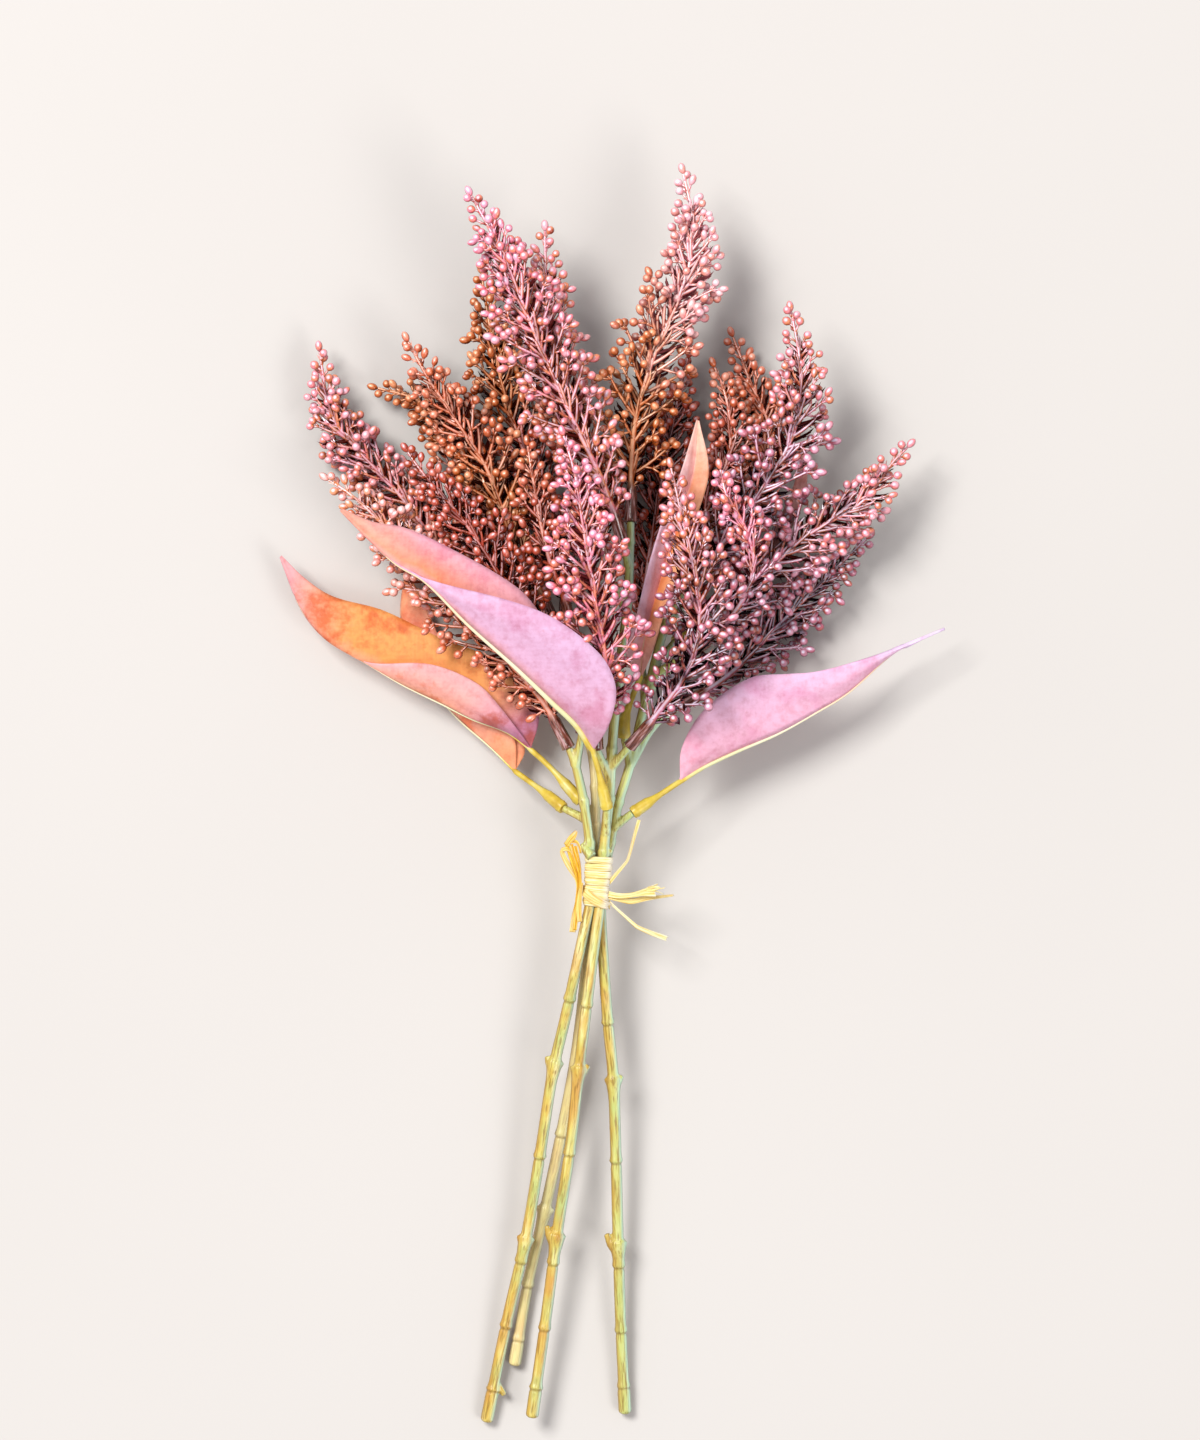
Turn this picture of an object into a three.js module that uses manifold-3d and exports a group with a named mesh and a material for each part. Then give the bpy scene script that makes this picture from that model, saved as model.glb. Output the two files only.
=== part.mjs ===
// A tied bunch of dried astilbe-like sprays with folded leaves, lying down on a table.
// Units are millimetres. While the pieces are placed, the origin is below the middle of the tie:
// +X to the right, +Y towards the flower heads, +Z up from the table.
import * as THREE from "three";
import { mergeVertices } from "three/addons/utils/BufferGeometryUtils.js";
import Module from "manifold-3d";

const wasm = await Module();
wasm.setup();

// Driving dimensions, in mm.
const STEM_RADIUS = 2.1;
const STEM_TOP_RADIUS = 1.8;
const STEM_END_RADIUS = 2.6;
const PLUG_BEVEL = 0.4;
const PLUG_EDGE_LENGTH = 1.2;
const JOINT_RISE = 0.4;
const JOINT_LENGTH = 2;
const COLLAR_RISE_LENGTH = 6;
const COLLAR_FALL_LENGTH = 2.5;
const STATION_PITCH = 16;
const EAR_LENGTH = 3.2;
const EAR_RADIUS = 0.9;
const EAR_TIP_RADIUS = 0.3;
const STEM_JOINTS = [12.5, 36, 60, 104, 160];
const STEM_EARS = [70.5, 135];
const SHORT_JOINTS = [10, 31, 92];
const SHORT_EARS = [62];
const FORK_RADIUS = 1.6;
const FORK_END_LENGTH = 3;
const SLEEVE_RADIUS = 2.3;
const SLEEVE_LENGTH = 12;
const RACHIS_RADIUS = 1.5;
const TIER_PITCH = 18;
const TIER_WAIST = 0.74;
const SPRAY_TIP_RADIUS = 1.0;
const STALK_RADIUS = 1.1;
const BLADE_THICKNESS = 0.8;
const BLADE_END_HALF_WIDTH = 0.5;
const SEAT_GAP = 0.3;
const RAFFIA_THICKNESS = 0.5;
const WRAP_BOTTOM = -9.6;
const WRAP_TOP = 10;
const WRAP_TURNS = 7;
const WRAP_THICKNESS = 0.4;
const WRAP_SWELL = 0.6;
const WRAP_HALF_WIDTH = 5;
const WRAP_HALF_DEPTH = 5;
const WRAP_FLARE = 0.07;
const TIE_HEIGHT = 26.9;
const TIE_LEAN = 0.09;

const ROD_SIDES = 8;
const UP = new THREE.Vector3(0, 0, 1);

const COLOURS = {
  stem: 0xa9a743,
  spray: 0x9c5a50,
  leaf: 0xd99091,
  stalk: 0xc9b24e,
  raffia: 0xe6d3a0,
};

// Each stem's centre line, from its cut end to its top.
const STEMS = {
  left: {
    name: "stem_left",
    line: [[-42.4, -207, 2.1], [-35, -170, 6.5], [-27.3, -136, 10.5], [-21.6, -102, 14.5],
      [-16.9, -72, 18.5], [-11.6, -49, 22], [-5, -18, 27], [-3.3, -9, 28.2], [-2.3, 0, 29.2],
      [-2.6, 11, 30.2], [-5, 31.6, 31], [-8.3, 46.5, 31]],
    joints: STEM_JOINTS,
    ears: STEM_EARS,
  },
  short: {
    name: "stem_left_short",
    line: [[-31.6, -185, 2.1], [-26.5, -154, 3.2], [-19.6, -124, 6.5], [-13.5, -95, 10],
      [-8.5, -68, 13.4], [-5, -40, 17.6], [-3.3, -16, 22.4], [-3, -9, 23.6], [-2.2, 0, 24.6],
      [-1.2, 11, 25.4], [-0.6, 23, 25], [-0.8, 41, 23.6], [-3, 56, 22.4], [-8, 76, 20.6],
      [-13, 90, 19]],
    joints: SHORT_JOINTS,
    ears: SHORT_EARS,
  },
  middle: {
    name: "stem_middle",
    line: [[-25, -205, 10], [-20, -170, 13.2], [-15.4, -135, 16.4], [-10.4, -102, 19.8],
      [-6.9, -71, 22.4], [-4, -47, 25], [0.2, -16, 28], [1.2, -9, 28.7], [2.3, 0, 29.4],
      [2.8, 11, 30.6], [3.6, 23, 32], [5, 36, 33], [5.8, 52.7, 34], [6.9, 66, 35], [8.5, 82, 36],
      [10, 94, 36], [11.9, 109, 35], [12.7, 131, 34]],
    joints: STEM_JOINTS,
    ears: STEM_EARS,
  },
  right: {
    name: "stem_right",
    line: [[10.8, -204, 2.1], [9.2, -170.6, 6.5], [8.1, -135.5, 10.5], [7.3, -104, 14],
      [6.2, -74, 17.4], [4, -51, 19.6], [1.9, -18, 23.2], [1.6, -9, 24.1], [2.4, 0, 24.8],
      [4.3, 11, 26], [6.7, 24.3, 27.6], [8.1, 31, 28.4], [11.6, 42, 28.6], [13.9, 50.4, 28],
      [17.5, 66, 25], [22.5, 86, 21.6], [27, 103, 20]],
    joints: STEM_JOINTS,
    ears: STEM_EARS,
  },
};

// Each spray sits on a fork of a stem. The fork runs from the stem's centre line to the seat, and the
// spray's centre line goes on from the seat. Half widths are across the bunch, half depths up and down.
const SPRAYS = [
  { name: "spray_01_tall_left", on: "middle", halfWidth: 14, halfDepth: 6.5,
    fork: [[12.4, 122, 34.4], [10, 131, 38]],
    line: [[7, 141, 43], [0.5, 158, 46], [-9.6, 178.6, 48], [-23.9, 211, 50], [-36.6, 242, 49],
      [-49.3, 266, 46]] },
  { name: "spray_02_tall_right", on: "middle", halfWidth: 17, halfDepth: 8,
    fork: [[12.7, 131, 34], [13, 139, 34]],
    line: [[13.4, 163, 32], [14.6, 177, 32], [22.3, 204, 34], [33.9, 231, 35], [36.6, 254, 34],
      [32.5, 275.5, 32]] },
  { name: "spray_03_tall_centre", on: "middle", halfWidth: 10, halfDepth: 5.5,
    fork: [[11.4, 105, 35.3], [5.5, 117, 33]],
    line: [[2.6, 130, 31], [-1.5, 155, 31], [-9.6, 179, 31], [-16.9, 201, 33], [-19.3, 223, 34],
      [-20, 252, 34]] },
  { name: "spray_04_front_centre", on: "middle", halfWidth: 14.5, halfDepth: 8,
    fork: [[5.2, 40, 33.3], [0, 51.5, 37]],
    line: [[-0.8, 60, 39], [3.4, 76, 46], [2.7, 90, 52], [-0.8, 109, 58.4], [-4.2, 130, 62],
      [-8, 155, 63], [-13.5, 174, 61]] },
  { name: "spray_05_front_right", on: "middle", halfWidth: 16, halfDepth: 8,
    fork: [[5.5, 45, 33.7], [12, 52.4, 38.5]],
    line: [[20, 61.6, 42], [32.7, 78.5, 48], [38.5, 94, 52], [38.5, 113, 55], [34.3, 132, 55],
      [27.7, 162, 51]] },
  { name: "spray_06_front_left", on: "left", halfWidth: 12.5, halfDepth: 6,
    fork: [[-8.2, 45, 31], [-5.6, 58, 32.6]],
    line: [[-6.5, 66, 34], [-25.8, 97.8, 38], [-41.2, 125, 39], [-54.7, 144, 41], [-66.6, 157.5, 42],
      [-74, 168, 41]] },
  { name: "spray_07_low_left", on: "left", halfWidth: 12, halfDepth: 6,
    fork: [[-8.3, 46.5, 31], [-10.6, 52, 31]],
    line: [[-20, 69, 30], [-35.4, 87, 28], [-56.6, 111, 26], [-75.8, 132, 26], [-95, 150, 26],
      [-105.5, 157, 25]] },
  { name: "spray_08_far_left", on: "short", halfWidth: 11, halfDepth: 7.5,
    fork: [[-6.4, 70, 21.2], [-17, 82, 17]],
    line: [[-32, 98, 12.5], [-58, 126, 9.5], [-77, 151, 9], [-91, 166, 9], [-102, 180, 10],
      [-107.5, 208, 12]] },
  { name: "spray_09_upper_left", on: "short", halfWidth: 14, halfDepth: 6,
    fork: [[-11.4, 86, 19.4], [-16, 99, 21.5]],
    line: [[-22, 113, 23.5], [-32.5, 132, 25], [-42, 159, 25.5], [-55.8, 180.5, 25.5], [-65.8, 196, 26],
      [-72, 207.5, 26]] },
  { name: "spray_10_back_left", on: "short", halfWidth: 8, halfDepth: 6.5,
    fork: [[-10.4, 83, 19.6], [-19.5, 97, 14]],
    line: [[-26, 109, 10.5], [-34.5, 128, 8.4], [-47, 156, 7.8], [-58, 176, 7.8], [-70, 187, 8],
      [-83.5, 191, 8]] },
  { name: "spray_11_back_tall", on: "short", halfWidth: 11, halfDepth: 7.5,
    fork: [[-13, 90, 19], [-12.6, 101, 16]],
    line: [[-12, 112, 12], [-15, 130, 9.5], [-25, 158, 9], [-35.4, 188, 10.5], [-41, 213, 12],
      [-45, 238, 13]] },
  { name: "spray_12_upper_right", on: "right", halfWidth: 14, halfDepth: 7.5,
    fork: [[27, 103, 20], [33, 112, 22]],
    line: [[41, 121, 26], [53, 137, 31], [66, 155.5, 34], [76, 175, 35], [78, 198, 35],
      [74, 222.5, 33]] },
  { name: "spray_13_back_right", on: "right", halfWidth: 7.5, halfDepth: 5.5,
    fork: [[25.6, 98, 20.4], [35, 109, 14]],
    line: [[42, 121, 9], [52, 140, 7], [63, 160, 6.8], [66.6, 175, 7], [59.7, 192.5, 7],
      [53, 210, 7]] },
  { name: "spray_14_inner_right", on: "right", halfWidth: 12, halfDepth: 5.5,
    fork: [[26.4, 101, 20.1], [29, 113, 19.6]],
    line: [[34, 127, 18.6], [44, 148, 18.6], [51, 166, 19], [50, 186, 20], [44.3, 201.5, 20]] },
  { name: "spray_15_top_right", on: "right", halfWidth: 10, halfDepth: 6.5,
    fork: [[21, 80, 22.4], [33, 87, 28]],
    line: [[42, 93, 34], [54, 106, 41], [60, 121, 45], [57, 136, 48.6], [49, 150, 51],
      [46.6, 161.5, 50]] },
  { name: "spray_16_far_right", on: "right", halfWidth: 14, halfDepth: 7,
    fork: [[19.6, 74, 23.6], [31, 85, 20]],
    line: [[43, 98, 18], [62, 117, 20], [80.5, 134, 22], [102, 147, 23], [114, 162.5, 24],
      [121.3, 170, 24]] },
  { name: "spray_17_low_right", on: "right", halfWidth: 14, halfDepth: 8,
    fork: [[12.8, 46, 28.4], [21.9, 60.8, 25], [31, 68, 20]],
    line: [[40, 73, 15.5], [51.6, 81, 11], [68.5, 98, 8.6], [90.5, 120, 9], [106, 135, 10]] },
  { name: "spray_18_back_centre", on: "right", halfWidth: 12, halfDepth: 7,
    fork: [[18.7, 71, 24], [17, 86, 17]],
    line: [[17, 98, 11], [20, 125, 8], [25, 155, 8], [31, 186, 8.5], [35.8, 205.5, 8.5]] },
  { name: "spray_19_inner_left", on: "short", halfWidth: 7.5, halfDepth: 5,
    fork: [[-12.2, 88, 19.2], [-10, 98, 24]],
    line: [[-11.6, 107, 30], [-18, 124, 34.5], [-22, 141, 35], [-24.6, 156, 35], [-27, 171, 34]] },
];

// Each leaf is a blade folded along its midrib, on a stalk whose swollen foot sits on a fork. The near
// edge is the free edge of the upper half and the far edge that of the lower half. All three lines of
// the blade start at the stalk's end and run to the tip.
const LEAVES = [
  { name: "leaf_01_front", on: "middle",
    fork: [[3.4, 20, 32.2], [3.9, 29, 38]],
    stalk: [[1.6, 39.7, 41.5], [-1.6, 51.5, 46]],
    midrib: [[-7.7, 61.2, 50], [-16.9, 70, 53], [-31.6, 84, 55], [-49.3, 99.7, 55.5], [-65.8, 116, 54],
      [-76.6, 122.4, 52], [-86.6, 131.3, 49], [-98.2, 143.2, 45]],
    near: [[5, 62, 56], [7.3, 76, 61], [3.9, 84, 63.5], [-3.9, 92, 65.6], [-12.7, 101, 66],
      [-35.4, 107.4, 62], [-60.8, 114.7, 58], [-97.6, 143.6, 45.6]],
    far: [[-6, 68, 48.6], [-14, 84, 49.6], [-21.6, 103, 49.6], [-31.6, 114.3, 49.6], [-60.8, 131.3, 49],
      [-73.9, 137, 47.6], [-85.5, 139, 46], [-97.6, 143.9, 44.4]] },
  { name: "leaf_02_left", on: "short",
    fork: [[-0.5, 25, 24], [-6, 31.5, 23.6]],
    stalk: [[-10, 36, 22.8], [-18.5, 45.4, 20], [-25.2, 51.4, 19]],
    midrib: [[-34.7, 58.5, 18], [-48.1, 63.5, 17], [-60, 69.3, 16], [-75.8, 77, 15.6],
      [-89.3, 85.1, 15.4], [-104.3, 94, 15], [-114, 105.5, 14], [-122.4, 126, 12]],
    near: [[-31.6, 63.5, 22.6], [-38.5, 70, 23], [-46.2, 77, 23], [-58.9, 83.2, 22.4],
      [-80.5, 86.4, 20], [-91, 87, 17], [-114, 107, 15.2], [-122, 126.3, 12.6]],
    far: [[-22.3, 63.5, 17.4], [-24.5, 72, 17.4], [-41.2, 87, 17.4], [-60.8, 95, 17],
      [-82.8, 105.5, 16], [-102.4, 111, 14.4], [-113.2, 118.2, 13], [-121.8, 126.6, 11.6]] },
  { name: "leaf_03_left_low", on: "left",
    fork: [[-4.2, 25, 29.4], [-12.7, 29, 25]],
    stalk: [[-21.6, 36.2, 19], [-31.4, 43.2, 12.8]],
    midrib: [[-41.2, 52.7, 9], [-51.2, 61.2, 6.6], [-57, 67, 5.4], [-66, 78, 4.4], [-73, 90, 4],
      [-76, 104, 4], [-74, 121, 5]],
    near: [[-31.4, 54.7, 12.6], [-37, 66, 11], [-45, 76, 9.6], [-53, 85, 8], [-60, 94, 7],
      [-64.6, 104, 6.4], [-73.4, 121, 5.6]],
    far: [[-27.7, 51.6, 10.6], [-32, 63, 8.6], [-42, 74, 6.4], [-52, 84, 4.4], [-59, 93, 3],
      [-66, 104, 2.6], [-73.2, 120.4, 4.4]] },
  { name: "leaf_04_right", on: "right",
    fork: [[6.6, 22, 27.8], [13.4, 27.2, 29]],
    stalk: [[23, 33.6, 28], [31.4, 39.2, 27]],
    midrib: [[40.8, 45, 26], [53.9, 51.2, 25.4], [69.3, 57.8, 25], [83.9, 65.8, 24.6], [96.6, 73.5, 24],
      [112.4, 87.4, 23], [121.3, 92.8, 22], [134, 98, 20]],
    near: [[32.7, 52, 31], [40.8, 66.6, 32], [58.5, 79, 31.4], [72.4, 80.9, 30.4], [83.9, 82, 29],
      [98.6, 85.5, 27], [111.7, 89.6, 24], [133.6, 98.4, 20.6]],
    far: [[36, 50, 24.6], [44, 60, 24], [60, 71, 23.4], [74, 75, 23], [86, 77.6, 22.6], [99, 83, 22],
      [112.6, 89, 21.6], [133.8, 98.6, 19.4]] },
  { name: "leaf_05_middle", on: "right",
    fork: [[12.8, 46, 28.5], [10.4, 56, 29.4]],
    stalk: [[10.6, 63.5, 30.6], [13.6, 72, 31.6], [16.6, 79.4, 32]],
    midrib: [[20, 92, 32], [25, 110, 32], [30, 128, 32], [34.6, 146, 32], [38, 161, 32],
      [38.5, 178, 31]],
    near: [[24, 91, 36], [31, 108, 37.6], [36.6, 127, 37.6], [40.6, 146, 36.6], [42, 161, 34.6],
      [39, 178, 31.6]],
    far: [[17.4, 93, 37], [20.8, 111, 39], [25, 129, 39], [29.6, 147, 38], [34.6, 162, 35],
      [38, 178.4, 31.6]] },
  { name: "leaf_06_back_right", on: "right",
    fork: [[22, 84, 21.8], [30, 93, 14]],
    stalk: [[38, 101, 9], [45.4, 107.6, 8]],
    midrib: [[57, 120, 9], [66, 133, 12], [73, 146, 15], [77, 157, 16.6], [79, 168, 17]],
    near: [[61, 118, 10], [71.4, 131, 13], [78.4, 144, 15.4], [81, 156, 16.8], [79.4, 168, 17.4]],
    far: [[60, 118.6, 7.8], [70, 132, 10], [77, 145, 12.8], [80, 156.6, 14.8], [79.6, 168.4, 16.4]] },
];

// The loose raffia ends: flat dry strips about 10 to 45 mm long that leave the tie.
const RAFFIA = [
  { name: "raffia_left_bunch", line: [[-8.4, -14, 28], [-8, 0, 29.4], [-8, 12, 31],
      [-9.4, 19.4, 32]], width: 3 },
  { name: "raffia_left_tail", line: [[-9.6, -18, 25.6], [-7.8, -9, 26.2], [-8, 4, 27.2],
      [-12.4, 12.6, 28.6],
    [-14.6, 9.6, 29.8], [-12.6, 1, 29.6]], width: 1.5 },
  { name: "raffia_left_end", line: [[-8, -15.4, 29.4], [-7.5, -8, 29.8], [-7, 2, 30.4]], width: 1.8 },
  { name: "raffia_right_long", line: [[6.6, 1.2, 28.8], [10.4, 10, 30.2], [14.6, 18, 31.2],
      [16.4, 26, 32]],
    width: 1.6 },
  { name: "raffia_right_flat", line: [[5.6, -4.6, 27.6], [12, -6, 28.6], [21, -5.4, 28.4],
      [29.6, -4.4, 27]],
    width: 2.6 },
  { name: "raffia_right_frayed", line: [[5.7, -2, 29.8], [13, -3, 31.2], [24.6, -2.4, 31]], width: 1.6 },
  { name: "raffia_right_low", line: [[5.3, -8.4, 26], [10.4, -12.4, 26.2], [17, -16.6, 25],
      [27, -20.6, 22]],
    width: 1.8 },
];

const pieces = [];

function vector(point) {
  return new THREE.Vector3(...point);
}

function curveThrough(points) {
  return new THREE.CatmullRomCurve3(points, false, "centripetal");
}

// A closed round or flat rod along a curve. Each station is [share of the length, half width, half depth].
function rod(curve, stations, sides = ROD_SIDES, turn = 0) {
  const last = stations.length - 1;
  const geometry = new THREE.CylinderGeometry(1, 1, 1, sides, last, false, turn);
  const places = geometry.attributes.position;
  for (let index = 0; index < places.count; index += 1) {
    const [share, halfWidth, halfDepth] = stations[Math.round((places.getY(index) + 0.5) * last)];
    const forward = curve.getTangentAt(share);
    const side = sideways(forward);
    const lift = new THREE.Vector3().crossVectors(side, forward);
    const spot = curve.getPointAt(share);
    spot.addScaledVector(side, places.getX(index) * halfWidth);
    spot.addScaledVector(lift, places.getZ(index) * halfDepth);
    places.setXYZ(index, spot.x, spot.y, spot.z);
  }
  return onlyPositions(geometry);
}

function onlyPositions(geometry) {
  geometry.deleteAttribute("normal");
  geometry.deleteAttribute("uv");
  return mergeVertices(geometry, 1e-4);
}

function toSolid(geometry) {
  const vertProperties = Float32Array.from(geometry.attributes.position.array);
  const triVerts = Uint32Array.from(geometry.index.array);
  return new wasm.Manifold(new wasm.Mesh({ numProp: 3, vertProperties, triVerts }));
}

function toGeometry(solid) {
  const mesh = solid.getMesh();
  const geometry = new THREE.BufferGeometry();
  geometry.setAttribute("position", new THREE.BufferAttribute(mesh.vertProperties, 3));
  geometry.setIndex(new THREE.BufferAttribute(mesh.triVerts, 1));
  return geometry;
}

function addPiece(name, geometry, colour, roughness) {
  geometry.computeVertexNormals();
  const material = new THREE.MeshStandardMaterial({ color: colour, roughness, metalness: 0 });
  const mesh = new THREE.Mesh(geometry, material);
  mesh.name = name;
  pieces.push(mesh);
}

// The stem's stations: a thicker plug at the cut end, a low ring at each joint, a swelling under the ears.
function stemStations(length, joints, ears) {
  const stations = [[0, STEM_END_RADIUS - PLUG_BEVEL], [PLUG_EDGE_LENGTH, STEM_END_RADIUS],
    [joints[0] - PLUG_EDGE_LENGTH, STEM_END_RADIUS - PLUG_BEVEL / 2]];
  for (const joint of joints) {
    stations.push([joint, STEM_RADIUS + JOINT_RISE], [joint + JOINT_LENGTH, STEM_RADIUS]);
  }
  for (const ear of ears) {
    stations.push([ear - COLLAR_RISE_LENGTH, STEM_RADIUS], [ear, STEM_RADIUS + 2 * JOINT_RISE],
      [ear + COLLAR_FALL_LENGTH, STEM_RADIUS]);
  }
  const lastPlace = length - COLLAR_RISE_LENGTH;
  for (let place = joints.at(-1) + STATION_PITCH; place < lastPlace; place += STATION_PITCH) {
    const share = (place - joints.at(-1)) / (length - joints.at(-1));
    stations.push([place, THREE.MathUtils.lerp(STEM_RADIUS, STEM_TOP_RADIUS, share)]);
  }
  stations.push([length, STEM_TOP_RADIUS]);
  stations.sort((a, b) => a[0] - b[0]);
  return stations.map(([place, radius]) => [place / length, radius, radius]);
}

// A thorn-like ear on each side of the stem, leaning towards the flowers.
function earSolid(curve, share, sideSign) {
  const spot = curve.getPointAt(share);
  const forward = curve.getTangentAt(share);
  const side = sideways(forward).multiplyScalar(sideSign);
  const foot = spot.clone().addScaledVector(side, STEM_RADIUS * 0.4);
  const tip = spot.clone().addScaledVector(side, STEM_RADIUS + EAR_RADIUS);
  tip.addScaledVector(forward, EAR_LENGTH);
  const line = new THREE.LineCurve3(foot, tip);
  return toSolid(rod(line, [[0, EAR_RADIUS, EAR_RADIUS], [1, EAR_TIP_RADIUS, EAR_TIP_RADIUS]], 5));
}

// The way a piece leaves its seat: from the fork's end towards the first point of its own line.
function seatDirection(fork, line) {
  return vector(line[0]).sub(vector(fork.at(-1))).normalize();
}

function forkSolid(fork, line) {
  const seat = vector(fork.at(-1));
  const beforeSeat = seat.clone().addScaledVector(seatDirection(fork, line), -FORK_END_LENGTH);
  const curve = curveThrough([...fork.slice(0, -1).map(vector), beforeSeat, seat]);
  const stations = [0, 0.3, 0.6, 0.8, 1].map((share) => [share, FORK_RADIUS, FORK_RADIUS]);
  return toSolid(rod(curve, stations, 6));
}

function addStem(key) {
  const { name, line, joints, ears } = STEMS[key];
  const curve = curveThrough(line.map(vector));
  const length = curve.getLength();
  let solid = toSolid(rod(curve, stemStations(length, joints, ears)));
  for (const ear of ears) {
    solid = solid.add(earSolid(curve, ear / length, 1)).add(earSolid(curve, ear / length, -1));
  }
  for (const { on, fork, line: sprayLine, stalk } of [...SPRAYS, ...LEAVES]) {
    if (on === key) {
      solid = solid.add(forkSolid(fork, sprayLine ?? stalk));
    }
  }
  addPiece(name, toGeometry(solid), COLOURS.stem, 0.55);
}

// The curve of a piece that starts a small gap beyond its seat.
function curveFromSeat(fork, line) {
  const start = vector(fork.at(-1)).addScaledVector(seatDirection(fork, line), SEAT_GAP);
  return curveThrough([start, ...line.map(vector)]);
}

// How full the spray is along its length: bare at the foot, fullest below the middle, fine at the tip.
function fullness(share) {
  const rise = THREE.MathUtils.smoothstep(share, 0.1, 0.4);
  const fall = Math.pow(1 - THREE.MathUtils.smoothstep(share, 0.4, 1.04), 0.8);
  return rise * fall;
}

// A spray's mass, with a waist between one tier of side branches and the next.
function addSpray({ name, fork, line, halfWidth, halfDepth }) {
  const curve = curveFromSeat(fork, line);
  const length = curve.getLength();
  const stations = [[0, SLEEVE_RADIUS, SLEEVE_RADIUS],
      [SLEEVE_LENGTH / length, SLEEVE_RADIUS, SLEEVE_RADIUS]];
  const tiers = Math.round((length - SLEEVE_LENGTH) / TIER_PITCH);
  const step = (1 - SLEEVE_LENGTH / length) / tiers;
  for (let tier = 0; tier < tiers; tier += 1) {
    for (const [offset, scale] of [[0.35, TIER_WAIST], [0.9, 1]]) {
      const share = SLEEVE_LENGTH / length + (tier + offset) * step;
      const full = fullness(share) * scale;
      stations.push([share, RACHIS_RADIUS + halfWidth * full, RACHIS_RADIUS + halfDepth * full]);
    }
  }
  stations.push([1, SPRAY_TIP_RADIUS, SPRAY_TIP_RADIUS]);
  addPiece(name, rod(curve, stations), COLOURS.spray, 0.7);
}

// The two thin halves of a blade as one closed folded sheet.
function bladeGeometry(stalk, midrib, near, far) {
  const along = midrib.length + 5;
  const heading = vector(stalk.at(-1)).sub(vector(stalk.at(-2))).normalize();
  const start = vector(stalk.at(-1)).addScaledVector(heading, SEAT_GAP);
  const rows = [
    bladeRow(start.clone().addScaledVector(sideways(heading), -BLADE_END_HALF_WIDTH), far),
    bladeRow(start, midrib),
    bladeRow(start.clone().addScaledVector(sideways(heading), BLADE_END_HALF_WIDTH), near),
  ];
  const geometry = new THREE.BoxGeometry(1, 1, 1, 4, 1, along);
  const places = geometry.attributes.position;
  for (let index = 0; index < places.count; index += 1) {
    const share = THREE.MathUtils.clamp(places.getZ(index) + 0.5, 0, 1);
    const across = Math.round(places.getX(index) * 4) / 2;
    const spot = bladePoint(rows, share, across);
    const normal = bladeNormal(rows, share, across);
    spot.addScaledVector(normal, Math.sign(places.getY(index)) * BLADE_THICKNESS / 2);
    places.setXYZ(index, spot.x, spot.y, spot.z);
  }
  return onlyPositions(geometry);
}

function bladeRow(start, line) {
  return curveThrough([start, ...line.map(vector)]);
}

// Level, and square to the heading.
function sideways(heading) {
  return new THREE.Vector3().crossVectors(heading, UP).normalize();
}

// A point of the blade: across runs from -1 at the far edge over 0 at the midrib to 1 at the near edge.
function bladePoint([farRow, midRow, nearRow], share, across) {
  const middle = midRow.getPoint(share);
  const edge = (across < 0 ? farRow : nearRow).getPoint(share);
  const reach = edge.sub(middle);
  reach.setLength(Math.max(reach.length(), BLADE_END_HALF_WIDTH));
  return middle.addScaledVector(reach, Math.abs(across));
}

function bladeNormal(rows, share, across) {
  const ahead = bladePoint(rows, Math.min(share + 0.02, 1), across);
  const behind = bladePoint(rows, Math.max(share - 0.02, 0), across);
  const left = bladePoint(rows, share, Math.max(across - 0.5, -1));
  const right = bladePoint(rows, share, Math.min(across + 0.5, 1));
  return ahead.sub(behind).cross(right.sub(left)).normalize();
}

function addLeaf({ name, fork, stalk, midrib, near, far }) {
  addPiece(`${name}_blade`, bladeGeometry(stalk, midrib, near, far), COLOURS.leaf, 0.8);
  const curve = curveFromSeat(fork, stalk);
  const stations = [[0, SLEEVE_RADIUS], [0.3, SLEEVE_RADIUS], [0.55, STALK_RADIUS * 1.3],
    [0.8, STALK_RADIUS], [1, STALK_RADIUS * 0.8]];
  addPiece(`${name}_stalk`, rod(curve, stations.map(([share, radius]) => [share, radius, radius])),
    COLOURS.stalk, 0.5);
}

// Half the size of the wound band at a height, which widens where the stems part above the tie.
function wrapReach(angle, place) {
  const halfWidth = WRAP_HALF_WIDTH + WRAP_FLARE * Math.max(0, place);
  const square = Math.pow(Math.cos(angle), 4) + Math.pow(Math.sin(angle), 4);
  return new THREE.Vector2(halfWidth, WRAP_HALF_DEPTH).multiplyScalar(Math.pow(square, -0.25));
}

// The raffia wound round the stems: a rounded square band with one swelling for each turn.
function addWrap() {
  const pitch = (WRAP_TOP - WRAP_BOTTOM) / WRAP_TURNS;
  const profile = [];
  for (let turn = 0; turn < WRAP_TURNS; turn += 1) {
    profile.push([1 + WRAP_THICKNESS, WRAP_BOTTOM + turn * pitch]);
    profile.push([1 + WRAP_SWELL, WRAP_BOTTOM + (turn + 0.5) * pitch]);
  }
  profile.push([1 + WRAP_THICKNESS, WRAP_TOP], [1, WRAP_TOP], [1, WRAP_BOTTOM], profile[0]);
  const geometry = new THREE.LatheGeometry(profile.map(([x, y]) => new THREE.Vector2(x, y)), 16);
  const places = geometry.attributes.position;
  for (let index = 0; index < places.count; index += 1) {
    const spot = new THREE.Vector2(places.getX(index), places.getZ(index));
    const place = places.getY(index);
    const outwards = spot.length() - 1;
    const reach = wrapReach(spot.angle(), place).addScalar(outwards);
    const x = Math.cos(spot.angle()) * reach.x + TIE_LEAN * place;
    const z = Math.sin(spot.angle()) * reach.y + TIE_LEAN * place + TIE_HEIGHT;
    places.setXYZ(index, x, place, z);
  }
  addPiece("raffia_wrap", onlyPositions(geometry), COLOURS.raffia, 0.8);
}

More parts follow.
